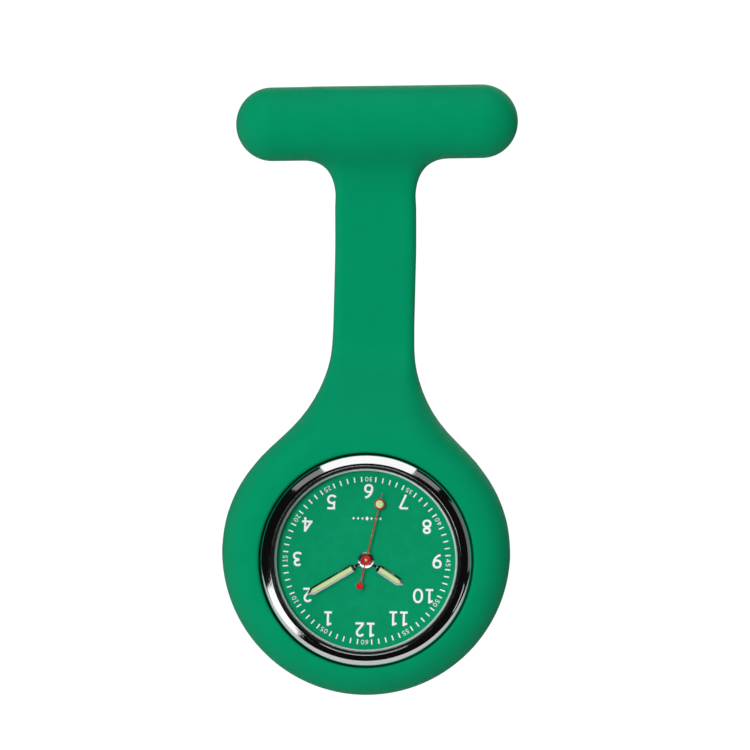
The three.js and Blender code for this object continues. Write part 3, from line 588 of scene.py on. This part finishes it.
# Seat and window for the brooch plate, cut through the back of the bar.
plate_lo, plate_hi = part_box("brooch_plate")
seat = prism("seat_cutter", stadium(0, 0, 15.6, 2.6, 0.8), 3.38, 4.32, None, row_point)
boolean(sleeve, seat)
window = bmesh.new()
rings = []
for h, grow in ((4.0, 0.0), (3.0, 0.0), (2.78, 0.07), (2.66, 0.22), (2.6, 0.45), (1.2, 2.0)):
    loop = [window.verts.new(row_point(x, z, h)) for x, z in stadium(0, 0, 14.75 + grow, 1.75 + grow, 0.6 + grow)]
    rings.append(loop)
for p, q in zip(rings[:-1], rings[1:]):
    for i in range(len(p)):
        j = (i + 1) % len(p)
        window.faces.new((p[i], p[j], q[j], q[i]))
window.faces.new(rings[0][::-1])
window.faces.new(rings[-1])
bmesh.ops.recalc_face_normals(window, faces=window.faces)
wm = bpy.data.meshes.new("brooch_window_cutter")
window.to_mesh(wm)
window.free()
boolean(sleeve, link(bpy.data.objects.new("brooch_window_cutter", wm)))
# Room for the crown, behind the lip.
crown_lo, crown_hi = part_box("crown")
room = prism("crown_room_cutter", stadium(-17.1 + HX, HZ, 1.6, 1.8, 0.5), -(CASE_BACK_Y - 0.35), -(lip_hi.y / MM + 0.02), None, row_point)
boolean(sleeve, room)
sharp_edges(sleeve, 40)
if not sleeve.data.materials:
    sleeve.data.materials.append(M["silicone"])
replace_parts(sleeve, "sleeve_top", "sleeve_flex_web", "sleeve_pocket", "sleeve_front_lip")
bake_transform(sleeve)

# ---------------------------------------------------------------- case, crystal and rings
# Bezel: a nearly flat polished face, a rolled shoulder, and a small step down to the crystal.
bezel = (
    [(14.75, 0.0), (15.7, 0.0)] + arc(15.9, 0.4, 0.4, -80, -5, 5)
    + [(CASE_R, 0.5), (CASE_R, 6.2)] + arc(CASE_R - 0.45, 6.2, 0.45, 8, 60, 5) + [(15.9, 6.72), (15.25, 6.84)]
    + arc(15.25, 6.94, 0.1, -100, -180, 3)
    + [(15.15, 7.1), (15.15, 7.6)]
    + [(15.135, 7.775), (15.1, 7.905), (15.05, 7.992), (14.97, 8.078), (14.85, 8.179), (14.7, 8.276), (14.55, 8.349), (14.45, 8.385), (14.28, 8.43),
       (14.1, 8.468), (13.92, 8.496), (13.74, 8.513), (13.6, 8.52), (13.57, 8.515), (13.555, 8.5), (13.55, 8.47), (13.55, 8.23), (13.54, 8.215)]
    + [(13.48, 8.215), (13.465, 8.2), (13.465, 6.97), (13.2, 6.95), (13.2, 6.66), (13.9, 6.6), (13.9, 0.8), (14.75, 0.8)]
)
case = lathe("watch_case", bezel, 256, M["chrome"])
bore_cut = prism("crown_bore_cutter", [(0.9 * math.cos(a), 0.9 * math.sin(a)) for a in [2 * math.pi * i / 32 for i in range(32)]], 0, 1, None,
                 lambda u, v, h: Vector(((-17.5 + 5.0 * h) * MM + HX * MM, (CASE_BACK_Y - 2.3) * MM + u * MM, HZ * MM + v * MM)))
boolean(case, bore_cut)
sharp_edges(case, 32)
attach(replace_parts(case, "case_body"), "head")

crystal = lathe("watch_crystal", [(0, 6.98), (13.1, 6.98), (13.1, 8.08)] + arc(13.03, 8.13, 0.07, 12, 90, 4) + [(13.0, 8.2), (12.94, 8.2), (0, 8.2)], 160, M["glass"])
sharp_edges(crystal, 40)
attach(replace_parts(crystal, "crystal"), "head")

rehaut = lathe("inner_ring", [(12.8, 4.5), (13.85, 4.5), (13.85, 6.5), (13.78, 6.56), (12.88, 6.56), (12.84, 6.54), (12.81, 6.5), (12.8, 6.44)], 200, M["satin_ring"])
sharp_edges(rehaut, 40)
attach(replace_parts(rehaut, "rehaut_ring"), "head")

gasket = lathe("crystal_seat_ring", [(13.0, 6.66), (13.17, 6.66), (13.17, 6.97), (13.45, 6.98), (13.45, 7.86), (13.4, 7.93), (13.18, 7.93), (13.13, 7.88), (13.13, 6.975), (13.12, 6.965), (13.0, 6.965)], 160, M["black_plastic"])
sharp_edges(gasket, 40)
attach(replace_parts(gasket, "crystal_gasket"), "head")

# Snap-on back: a faced disc inside a raised ring, a sloping rim with a notch for the opening knife, and the plug ring that grips the case.
back_lo, back_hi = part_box("case_back")
rear = CASE_BACK_Y - back_hi.y / MM
back_r = (back_hi.x - back_lo.x) / 2 / MM
back = lathe("snap_case_back", [
    (0, rear + 0.07), (10.6, rear + 0.07), (10.8, rear + 0.07), (10.86, rear + 0.1), (10.92, rear + 0.16), (11.0, rear + 0.19), (11.1, rear + 0.19), (11.18, rear + 0.16),
    (11.24, rear + 0.1), (11.3, rear + 0.03), (11.38, rear + 0.005), (11.5, rear), (13.5, rear), (13.72, rear), (13.86, rear + 0.02), (14.0, rear + 0.08),
    (14.34, rear + 0.36), (14.44, rear + 0.46), (14.52, rear + 0.56), (back_r - 0.01, rear + 0.66), (back_r, rear + 0.75), (back_r, 0.34), (back_r - 0.02, 0.38), (back_r - 0.06, 0.4),
    (13.8, 0.4), (13.8, 1.53), (13.73, 1.6), (13.37, 1.6), (13.3, 1.53), (13.2, -0.3), (12.9, -0.32), (0, -0.5)], 224, M["back"])
knife = lathe("notch_cutter", [(0, rear - 0.6), (2.0, rear - 0.6), (2.0, rear + 0.62), (1.94, rear + 0.68), (0, rear + 0.68)], 48, None, 0.0, -(back_r + 1.25))
boolean(back, knife)
sharp_edges(back, 28)
if not back.data.materials:
    back.data.materials.append(M["back"])
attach(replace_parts(back, "case_back"), "back")

# ---------------------------------------------------------------- dial
dial = lathe("green_dial", [(0, 4.05), (13.55, 4.05), (13.6, 4.1), (13.6, DIAL_H - 0.04), (13.56, DIAL_H), (0, DIAL_H)], 160, M["dial"])
hole = prism("dial_hole_cutter", [(0.95 * math.cos(a), 0.95 * math.sin(a)) for a in [2 * math.pi * i / 40 for i in range(40)]], 3.5, 5.0)
boolean(dial, hole)
for fx, fz in ((-7.0, 6.0), (6.9, -5.4)):
    foot = lathe("dial_foot", [(0, 3.3), (0.24, 3.3), (0.28, 3.36), (0.28, 4.1), (0, 4.1)], 20, M["dial"], fx, fz)
    boolean(dial, foot, "UNION")
sharp_edges(dial, 35)
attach(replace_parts(dial, "dial"), "head")

PRINT_H0, PRINT_H1 = DIAL_H - 0.004, DIAL_H + 0.016


def clock_point(minute_angle, radius):
    """Head-frame x and z of a point at an angle clockwise from twelve. Twelve points down."""
    a = math.radians(minute_angle)
    return (-radius * math.sin(a), -radius * math.cos(a))


STROKE = 0.15  # width of a figure's line as a share of its height


def ellipse(cx, cy, rx, ry, a0, a1, n=20, power=2.15):
    """Centre line on a slightly squared ellipse, angles in degrees."""
    pts = []
    for i in range(n + 1):
        a = math.radians(a0 + (a1 - a0) * i / n)
        c, q = math.cos(a), math.sin(a)
        pts.append((cx + rx * math.copysign(abs(c) ** (2 / power), c), cy + ry * math.copysign(abs(q) ** (2 / power), q)))
    return pts


H2 = STROKE / 2
SIX = [
    (ellipse(0.315, 0.315, 0.315 - H2, 0.315 - H2, 0, 360, 36), True),
    (ellipse(0.60, 0.315, 0.60 - H2, 0.685 - H2, 180, 96, 18, 2.0), False),
]
FIGURES = {
    "0": (0.70, [(ellipse(0.35, 0.5, 0.35 - H2, 0.5 - H2, 0, 360, 44), True)]),
    "1": (0.56, [([(0.30, 0.0), (0.30, 1.0)], False), ([(0.04, H2), (0.56, H2)], False), ([(0.06, 0.835), (0.30, 0.90)], False)]),
    "2": (0.62, [(ellipse(0.29, 0.70, 0.29 - H2, 0.30 - H2, 158, -32, 22) + [(0.115, 0.145)], False), ([(0.03, H2), (0.62, H2)], False)]),
    "3": (0.61, [(ellipse(0.27, 0.755, 0.275 - H2, 0.245 - H2, 152, -88, 20) + [(0.17, 0.53)], False),
                 ([(0.17, 0.53)] + ellipse(0.27, 0.292, 0.335 - H2, 0.292 - H2, 86, -146, 22)[2:], False)]),
    "4": (0.72, [([(0.50, 0.0), (0.50, 0.985)], False), ([(0.0, 0.29), (0.72, 0.29)], False), ([(0.07, 0.28), (0.50, 0.93)], False)]),
    "5": (0.60, [([(0.57, 1 - H2), (0.115, 1 - H2), (0.115, 0.53), (0.24, 0.575)] + ellipse(0.255, 0.315, 0.345 - H2, 0.335 - H2, 80, -148, 24)[2:], False)]),
    "6": (0.63, SIX),
    "7": (0.62, [([(0.0, 1 - H2), (0.555, 1 - H2)], False), ([(0.575, 0.93), (0.17, 0.0)], False)]),
    "8": (0.63, [(ellipse(0.315, 0.762, 0.275 - H2, 0.238 - H2, 0, 360, 32), True), (ellipse(0.315, 0.288, 0.315 - H2, 0.288 - H2, 0, 360, 36), True)]),
    "9": (0.63, [([(0.63 - x, 1 - y) for x, y in path], closed) for path, closed in SIX]),
}


def ribbon(path, closed, half):
    """Left and right edges of a line of even width with mitred corners."""
    n = len(path) - (1 if closed else 0)
    pts = [Vector(p) for p in path[:n]]
    left, right = [], []
    for i in range(n):
        a = pts[i - 1] if (i > 0 or closed) else None
        b = pts[(i + 1) % n] if (i < n - 1 or closed) else None
        dirs = [d.normalized() for d in ((pts[i] - a) if a is not None else None, (b - pts[i]) if b is not None else None) if d is not None]
        t = sum(dirs, Vector((0, 0))).normalized()
        k = half / max(0.5, t.dot(dirs[-1]))
        m = Vector((-t.y, t.x)) * k
        left.append(pts[i] + m)
        right.append(pts[i] - m)
    return left, right


def figure_mesh(character, half=H2):
    """One figure of unit height, 1 thick in its own z, its strokes joined into one closed solid."""
    width, strokes = FIGURES[character]
    whole = None
    for k, (path, closed) in enumerate(strokes):
        left, right = ribbon(path, closed, half)
        n = len(left)
        grow = 0.0005 * k
        verts = [(p.x - width / 2, p.y - 0.5, z) for z in (0 - grow, 1 + grow) for side in (left, right) for p in side]
        faces = []
        for i in range(n if closed else n - 1):
            j = (i + 1) % n
            faces += [(i, j, n + j, n + i), (2 * n + j, 2 * n + i, 3 * n + i, 3 * n + j), (j, i, 2 * n + i, 2 * n + j), (n + i, n + j, 3 * n + j, 3 * n + i)]
        if not closed:
            faces += [(0, n, 3 * n, 2 * n), (n - 1, 3 * n - 1, 4 * n - 1, 2 * n - 1)]
        ob = mesh_object("stroke", verts, faces, None, False)
        bm = bmesh.new()
        bm.from_mesh(ob.data)
        bmesh.ops.recalc_face_normals(bm, faces=bm.faces)
        bm.to_mesh(ob.data)
        bm.free()
        whole = ob if whole is None else boolean(whole, ob, "UNION")
    me = whole.data
    bpy.data.objects.remove(whole)
    return me


FIGURE_MESHES = {c: figure_mesh(c) for c in "0123456789"}
SMALL_FIGURES = {c: figure_mesh(c, 0.056) for c in "0123456789"}


def printed_text(name, text, height, angle, radius, spin, gap=0.17, shift=(0, 0), figures=FIGURE_MESHES):
    """Raised print. spin turns the figures clockwise, as the dial's reader sees them, from upright."""
    cx, cz = clock_point(angle, radius)
    cx, cz = cx + shift[0], cz + shift[1]
    turn = math.radians(spin)
    widths = [FIGURES[c][0] * height for c in text]
    total = sum(widths) + gap * height * (len(text) - 1)
    u0 = -total / 2
    bm = bmesh.new()
    for c, w in zip(text, widths):
        before = len(bm.verts)
        bm.from_mesh(figures[c])
        bm.verts.ensure_lookup_table()
        mid = u0 + w / 2
        for v in bm.verts[before:]:
            u, q, t = v.co.x * height + mid, v.co.y * height, min(max(v.co.z, 0.0), 1.0)
            u, q = u * math.cos(turn) + q * math.sin(turn), -u * math.sin(turn) + q * math.cos(turn)
            # the dial is worn upside down: right on the dial is -X, up on the dial is -Z
            v.co = head_point(cx - u, cz - q, PRINT_H0 + (PRINT_H1 - PRINT_H0) * t)
        u0 += w + gap * height
    bmesh.ops.recalc_face_normals(bm, faces=bm.faces)
    out = bpy.data.meshes.new(name)
    bm.to_mesh(out)
    bm.free()
    return out


def joined(name, meshes, mat):
    bm = bmesh.new()
    for me in meshes:
        bm.from_mesh(me)
        bpy.data.meshes.remove(me)
    out = bpy.data.meshes.new(name)
    bm.to_mesh(out)
    bm.free()
    out.materials.append(mat)
    return link(bpy.data.objects.new(name, out))


# The hour figures stand a little off their circle, each by its own amount.
NUMERAL_SHIFT = {1: (-0.24, 0.08), 2: (0.35, -0.25), 3: (0.07, -0.08), 4: (0.04, -0.08), 5: (-0.2, -0.4), 6: (0.13, -0.05), 7: (0.24, -0.14),
                 8: (0.02, 0.03), 9: (0.28, 0.08), 10: (0.0, -0.12), 11: (0.09, 0.08), 12: (0.13, -0.1)}
numerals = [printed_text(f"n{i}", str(i), 2.08, i * 30, 9.9 if i < 10 else (9.62 if i < 12 else 9.86), 0, shift=NUMERAL_SHIFT[i]) for i in range(1, 13)]
big = joined("hour_numerals", numerals, M["print"])
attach(big, "head")

small = []
for i in range(1, 13):
    minute = i * 5
    spin = minute * 6 if (minute <= 15 or minute >= 45) else minute * 6 + 180
    small.append(printed_text(f"m{minute}", f"{minute:02d}", 0.68, minute * 6, 11.66, spin, 0.22, (0.1, -0.08), SMALL_FIGURES))
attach(joined("minute_numerals", small, M["print"]), "head")

# Five marks between each two figures.
ticks = []
for a in range(0, 360, 5):
    if a % 30 == 0:
        continue
    half = 0.09
    inner, outer = 11.28, 12.02
    r = math.radians(a)
    ax, az = -math.sin(r), -math.cos(r)
    tx, tz = -math.cos(r), math.sin(r)
    corners = [(ax * q + tx * s + 0.1, az * q + tz * s - 0.08) for q, s in ((inner, -half), (inner, half), (outer, half), (outer, -half))]
    ob = prism(f"tick{a}", corners, PRINT_H0, PRINT_H1)
    ticks.append(ob.data)
    bpy.data.objects.remove(ob)
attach(joined("minute_track", ticks, M["print"]), "head")

# Small generic ornament between the centre and the six: a row of lozenges.
orn = []
for i in range(7):
    x = (i - 3) * 0.64
    s = 0.26 if i == 3 else 0.17
    cx, cz = x, 5.95
    ob = prism(f"orn{i}", [(cx - s, cz), (cx, cz - s * 1.25), (cx + s, cz), (cx, cz + s * 1.25)], PRINT_H0, PRINT_H1)
    orn.append(ob.data)
    bpy.data.objects.remove(ob)
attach(joined("dial_ornament", orn, M["print"]), "head")

# ---------------------------------------------------------------- hands
MINUTE_ANGLE, HOUR_ANGLE, SECOND_ANGLE = 58.4, 302.2, 192.2


def hand_point(across, along, degrees, h):
    c, s = math.cos(math.radians(degrees)), math.sin(math.radians(degrees))
    return head_point(-along * s + across * c, -along * c - across * s, h)


def faceted_hand(name, degrees, tip, shoulder, start, width, neck, h0, h1, hub, bore):
    """Stamped hand: a flat base, two sloped facets that rise to a flat slot edge, a narrow neck and a round hub."""
    inner = width * 0.52
    outline = [(-neck, 0.6), (-neck, start - 0.42), (-width, start - 0.02), (-width, shoulder), (0, tip), (width, shoulder), (width, start - 0.02), (neck, start - 0.42), (neck, 0.6)]
    slot_in = [(-inner, start + 0.1), (-inner, shoulder - 0.12), (0, tip - (tip - shoulder) * 0.62), (inner, shoulder - 0.12), (inner, start + 0.1)]
    bm = bmesh.new()

    def ring(points, h):
        return [bm.verts.new(hand_point(a, l, degrees, h)) for a, l in points]

    rim = h0 + (h1 - h0) * 0.25
    base = ring(outline, h0)
    edge = ring(outline, rim)
    lid_in = ring(slot_in, h1)
    low_in = ring(slot_in, h0)
    n = len(outline)
    for i in range(n):
        j = (i + 1) % n
        bm.faces.new((base[i], base[j], edge[j], edge[i]))
    m = len(slot_in)
    for i in range(m):
        j = (i + 1) % m
        bm.faces.new((lid_in[i], lid_in[j], low_in[j], low_in[i]))
    # sloped facets between the outer rim (indices 2..6 of the outline) and the slot edge
    for k, (a, b) in enumerate(((2, 3), (3, 4), (4, 5), (5, 6))):
        bm.faces.new((edge[a], edge[b], lid_in[k + 1], lid_in[k]))
        bm.faces.new((base[b], base[a], low_in[k], low_in[k + 1]))
    # neck: a low flat-topped ridge that runs out on the flat shoulder, where the blade's end rises steeply
    ridge = rim + 0.065
    root = ring([(-0.13, 0.6), (0.13, 0.6)], ridge)
    top_end = ring([(-0.13, start - 0.42), (0.13, start - 0.42)], ridge)
    low_end = ring([(-0.13, start - 0.32), (0.13, start - 0.32)], rim)
    foot = ring([(-inner, start), (inner, start)], rim)
    bm.faces.new((edge[0], edge[1], top_end[0], root[0]))
    bm.faces.new((root[1], top_end[1], edge[7], edge[8]))
    bm.faces.new((root[0], top_end[0], top_end[1], root[1]))
    bm.faces.new((edge[1], low_end[0], top_end[0]))
    bm.faces.new((top_end[1], low_end[1], edge[7]))
    bm.faces.new((top_end[0], low_end[0], low_end[1], top_end[1]))
    bm.faces.new((edge[1], edge[2], foot[0], foot[1], edge[6], edge[7], low_end[1], low_end[0]))
    bm.faces.new((edge[2], lid_in[0], foot[0]))
    bm.faces.new((foot[1], lid_in[4], edge[6]))
    bm.faces.new((foot[0], lid_in[0], lid_in[4], foot[1]))
    bm.faces.new((edge[8], edge[0], root[0], root[1]))
    bm.faces.new((base[2], base[1], low_in[0]))
    bm.faces.new((base[7], base[6], low_in[4]))
    bm.faces.new((base[1], base[0], base[8], base[7], low_in[4], low_in[0]))
    bmesh.ops.recalc_face_normals(bm, faces=bm.faces)
    me = bpy.data.meshes.new(name)
    bm.to_mesh(me)
    bm.free()
    me.materials.append(M["chrome"])
    blade = link(bpy.data.objects.new(name, me))
    dome = [(bore, h0), (hub, h0), (hub, h0 + 0.17)] + [(hub - 0.06 * (1 - math.cos(math.radians(a))), h0 + 0.17 + 0.06 * math.sin(math.radians(a))) for a in (25, 50, 75, 90)] + [(hub - 0.09, h0 + 0.232), (bore, h0 + 0.235)]
    boss = lathe(name + "_boss", dome, 64, M["chrome"])
    blade_cut = lathe(name + "_cut", [(0, h0 - 0.5), (bore + 0.02, h0 - 0.5), (bore + 0.02, h1 + 0.5), (0, h1 + 0.5)], 48)
    boolean(blade, blade_cut)
    boolean(blade, boss, "UNION")
    sharp_edges(blade, 22)
    fill = [(a * 0.97, l) for a, l in slot_in]
    bm = bmesh.new()
    low = [bm.verts.new(hand_point(a, l, degrees, h0 + 0.03)) for a, l in fill]
    high = [bm.verts.new(hand_point(a, l, degrees, h1 - 0.02)) for a, l in fill]
    bm.faces.new(low)
    bm.faces.new(high[::-1])
    for i in range(len(fill)):
        j = (i + 1) % len(fill)
        bm.faces.new((low[j], low[i], high[i], high[j]))
    centre = sum((v.co for v in high), Vector()) / len(high)
    bmesh.ops.recalc_face_normals(bm, faces=bm.faces)
    me = bpy.data.meshes.new(name + "_lume")
    bm.to_mesh(me)
    bm.free()
    me.materials.append(M["lume"])
    lume = link(bpy.data.objects.new(name.replace("_blade", "") + "_lume_fill", me))
    bev = lume.modifiers.new("soft", "BEVEL")
    bev.width, bev.segments, bev.limit_method = 0.03 * MM, 2, "ANGLE"
    return blade, lume


for name, body, args in (
    ("hour", "hours", (HOUR_ANGLE, 6.43, 5.6, 2.25, 0.60, 0.22, 4.74, 4.98, 1.16, 0.78)),
    ("minute", "minutes", (MINUTE_ANGLE, 9.75, 8.85, 2.25, 0.58, 0.22, 5.28, 5.52, 1.02, 0.475)),
):
    blade, lume = faceted_hand(f"{name}_hand_blade", *args)
    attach(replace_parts(blade, f"{name}_hand"), body)
    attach(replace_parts(lume, f"{name}_hand_lume"), body)

# Second hand: thin needle, lume ring, round tail and a domed hub with a steel pipe end.
def outline_hand(points, degrees):
    return points + [(-a, l) for a, l in reversed(points)]


needle_pts = outline_hand([(0.08, -3.6), (0.105, -0.2), (0.09, 3.0), (0.075, 7.6), (0.06, 9.0), (0.03, 9.92)], SECOND_ANGLE)
needle = prism("second_hand_needle", needle_pts, 5.84, 5.96, M["red"], lambda a, l, h: hand_point(a, l, SECOND_ANGLE, h))


def second_disc(name, along, profile):
    p = hand_point(0, along, SECOND_ANGLE, 0)
    return lathe(name, profile, 48, M["red"], p.x / MM - HX, p.z / MM - HZ)


boolean(needle, second_disc("cut", 8.25, [(0, 5.5), (0.59, 5.5), (0.59, 6.3), (0, 6.3)]))
boolean(needle, second_disc("ring", 8.25, [(0.58, 5.84), (0.76, 5.84), (0.76, 5.93), (0.73, 5.96), (0.61, 5.96), (0.58, 5.93)]), "UNION")
boolean(needle, second_disc("tail", -3.8, [(0, 5.84), (0.53, 5.84), (0.53, 5.93), (0.5, 5.965), (0, 5.965)]), "UNION")
boolean(needle, second_disc("hub", 0, [(0, 5.83), (0.76, 5.83), (0.76, 5.93), (0.72, 5.99), (0.63, 6.03), (0.42, 6.05), (0.3, 6.02), (0.3, 5.95), (0, 5.95)]), "UNION")
boolean(needle, second_disc("pipe_hole", 0, [(0, 5.6), (0.21, 5.6), (0.21, 6.3), (0, 6.3)]))
sharp_edges(needle, 30)
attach(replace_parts(needle, "second_hand"), "seconds")
p = hand_point(0, 8.25, SECOND_ANGLE, 0)
dot = lathe("second_hand_lume_dot", [(0, 5.85), (0.565, 5.85), (0.565, 5.92), (0.52, 5.95), (0.32, 5.965), (0, 5.97)], 40, M["lume"], p.x / MM - HX, p.z / MM - HZ)
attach(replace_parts(dot, "second_hand_lume"), "seconds")

# ---------------------------------------------------------------- carried-over CAD pieces
CAD_MATERIALS = {
    "brooch_plate": "brooch", "brooch_hinge_rivet": "steel", "brooch_pin_stem": "pin", "brooch_safety_catch": "steel",
    "case_back_gasket": "gasket", "crown": "chrome", "crown_tube": "brass", "crown_gasket": "gasket", "winding_stem": "steel",
    "movement_ring": "plastic", "main_plate": "black_plastic", "train_bridge": "steel", "dial_washer": "brass",
    "seconds_wheel": "brass", "third_wheel": "brass", "centre_wheel": "brass", "intermediate_wheel": "wheel_plastic", "rotor": "iron",
    "minute_wheel": "wheel_plastic", "hour_wheel": "wheel_plastic", "setting_wheel": "steel", "clutch_wheel": "steel", "setting_lever": "steel",
    "stator": "iron", "coil_core": "iron", "coil_winding": "copper", "circuit_board": "board", "ic_chip": "black_plastic",
    "quartz_crystal_can": "steel", "battery": "steel", "battery_contact": "brass", "battery_clamp": "steel",
}
SOFT_EDGES = {"brooch_plate": 0.16, "brooch_hinge_rivet": 0.1, "brooch_safety_catch": 0.12, "crown": 0.08, "crown_tube": 0.05}
for name, obj in nodes.items():
    if obj.hide_render or obj.get("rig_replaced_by"):
        continue
    key = CAD_MATERIALS.get(name, "steel" if "screw" in name else None)
    if key is None:
        continue
    obj.data.materials.clear()
    obj.data.materials.append(M[key])
    width = SOFT_EDGES.get(name, 0.03)
    bev = obj.modifiers.new("soft_edges", "BEVEL")
    bev.width, bev.segments, bev.limit_method, bev.angle_limit = width * MM, 3 if width > 0.05 else 1, "ANGLE", math.radians(40)
    bev.harden_normals = False
    obj.data.shade_smooth()
    wn = obj.modifiers.new("even_normals", "WEIGHTED_NORMAL")
    wn.keep_sharp = True

# ---------------------------------------------------------------- stage, lamps and camera
FOCUS = Vector((0.00062, -0.0118, -0.0361))


def stage_material():
    n = Nodes("studio_white")
    n.color(n.ramp(n.noise(6, 3), [(0.3, (0.755, 0.76, 0.755)), (0.7, (0.78, 0.785, 0.78))]))
    n.rough(n.map(n.noise(30, 2), 0.3, 0.7, 0.85, 0.95))
    n.set(Specular_IOR_Level=0.1)
    return n.m


def pale_floor(name, section):
    """Wide flat slab with the given section in Y and Z."""
    verts = [(x, y, z) for x in (-1.8, 1.8) for y, z in section]
    n = len(section)
    faces = [(i, i + n, (i + 1) % n + n, (i + 1) % n) for i in range(n)]
    faces += [tuple(range(n))[::-1], tuple(range(n, 2 * n))]
    return mesh_object(name, verts, faces, M["stage"], False)


M["stage"] = stage_material()
# The floor that the camera sees, and the smaller table top that the polished bezel mirrors.
floor = pale_floor("pale_floor", [(-2.0, -0.206), (-2.0, -0.2005), (2.0, -0.2005), (2.0, -0.206)])
table_top = pale_floor("pale_table_top", [(-0.215, -0.2004), (-0.2145, -0.2002), (-0.212, -0.2001), (-0.209, -0.2), (1.2, -0.2), (1.2, -0.2004)])
floor.visible_glossy = floor.visible_diffuse = False
table_top.visible_camera = table_top.visible_shadow = False
HEAD = Vector((HX * MM, (CASE_BACK_Y - 8) * MM, HZ * MM))


def lamp(name, place, toward, along, width, length, radiance, color=(1, 1, 1)):
    """Soft box of an even brightness. toward is the way it faces, along the way its length runs."""
    data = bpy.data.lights.new(name, "AREA")
    data.shape = "RECTANGLE"
    data.size, data.size_y = width, length
    data.energy = radiance * math.pi * width * length
    data.color = color
    ob = link(bpy.data.objects.new(name, data))
    z = -Vector(toward).normalized()
    y = (Vector(along) - z * Vector(along).dot(z)).normalized()
    x = y.cross(z)
    ob.matrix_world = Matrix.Translation(Vector(place)) @ Matrix((x, y, z)).transposed().to_4x4()
    ob.visible_camera = False
    return ob


def seen_from_head(off_axis, clock, distance):
    """A place seen from the watch head: degrees off the line to the camera, and degrees clockwise from straight up."""
    p, a = math.radians(off_axis), math.radians(clock)
    return HEAD + distance * Vector((math.sin(p) * math.sin(a), -math.cos(p), math.sin(p) * math.cos(a)))


def card(name, off0, off1, clock, clock_width, distance, radiance, parts=4):
    """A flat wedge, made of strips, that the bezel mirrors between two angles off the camera line."""
    for k in range(parts):
        p0, p1 = off0 + (off1 - off0) * k / parts, off0 + (off1 - off0) * (k + 1) / parts
        a, b = seen_from_head(p0, clock, distance), seen_from_head(p1, clock, distance)
        mid = (a + b) / 2
        width = 2 * distance * math.sin(math.radians((p0 + p1) / 2)) * math.tan(math.radians(clock_width / 2))
        lamp(f"{name}_{k}", mid, HEAD - mid, b - a, width, (b - a).length, radiance)


DOWN, BACK, UP = (0, 0, -1), (0, 1, 0), (0, 0, 1)
key_at = seen_from_head(14, 290, 1.25)
key = lamp("key", key_at, HEAD - key_at, UP, 0.22, 0.22, 64.0)
key.visible_glossy = False
key.visible_transmission = False
side = lamp("side_left", (-0.7, -0.25, 0.05), (0.7, 0.25, -0.09), UP, 0.5, 0.6, 1.4)
side.visible_glossy = side.visible_transmission = False
side = lamp("side_right", (0.7, -0.1, 0.22), (-0.7, 0.1, -0.24), UP, 0.5, 0.6, 0.7)
side.visible_glossy = side.visible_transmission = False
lamp("box_front", (0, -0.792, 0.24), DOWN, BACK, 0.32, 1.24, 1.05)
lamp("box_over", (0, -0.057, 0.24), DOWN, BACK, 0.32, 0.23, 1.05)
lamp("wing_left", (-0.25, -0.81, 0.24), DOWN, BACK, 0.18, 1.08, 0.22)
lamp("wing_right", (0.235, -0.62, 0.24), DOWN, BACK, 0.15, 0.76, 0.20)
card("card_lower_left", 9, 54, 236, 32, 0.5, 1.1, 6)
card("card_right", 50, 85, 75, 40, 0.4, 0.14, 2)
card("card_lower_right", 33, 41, 112, 16, 0.5, 0.5, 1)
lamp("back_left", (-0.5, 0.28, 0.0), (0.5, -0.3, -0.03), UP, 0.4, 0.5, 0.7)
lamp("back_fill", (0.25, 0.95, 0.45), (-0.2, -0.95, -0.5), UP, 0.9, 0.9, 1.6)
lamp("floor_light", (0, 0.76, 0.42), (0, 0.25, -1), BACK, 1.6, 0.8, 1.2)
# A wide panel that lights the floor and nothing else.
floor_only = bpy.data.collections.new("lit_floor")
floor_only.objects.link(floor)
wash = lamp("floor_wash", (0, 0, 1.0), DOWN, BACK, 4.0, 4.4, 2.7)
wash.visible_glossy = False
wash.light_linking.receiver_collection = floor_only

world = bpy.data.worlds.new("studio")
bpy.context.scene.world = world
world.use_nodes = True
wt = world.node_tree
dark = wt.nodes["Background"]
dark.inputs[0].default_value = (1, 1, 1, 1)
dark.inputs[1].default_value = 0.004
white = wt.nodes.new("ShaderNodeBackground")
white.inputs[0].default_value = (1, 1, 1, 1)
white.inputs[1].default_value = 1.05
path = wt.nodes.new("ShaderNodeLightPath")
choice = wt.nodes.new("ShaderNodeMixShader")
wt.links.new(path.outputs["Is Camera Ray"], choice.inputs[0])
wt.links.new(dark.outputs[0], choice.inputs[1])
wt.links.new(white.outputs[0], choice.inputs[2])
wt.links.new(choice.outputs[0], wt.nodes["World Output"].inputs[0])

cam_data = bpy.data.cameras.new("camera")
cam_data.lens = 600
cam_data.sensor_width = 36
cam_data.clip_start, cam_data.clip_end = 0.05, 10
cam = link(bpy.data.objects.new("camera", cam_data))
cam.location = FOCUS + Vector((0, -1.785, 0))
cam.rotation_euler = (math.radians(90), math.radians(-1.45), 0)
bpy.context.scene.camera = cam
bpy.context.scene.view_settings.view_transform = "Standard"
bpy.context.scene.view_settings.look = "None"

bpy.context.view_layer.update()
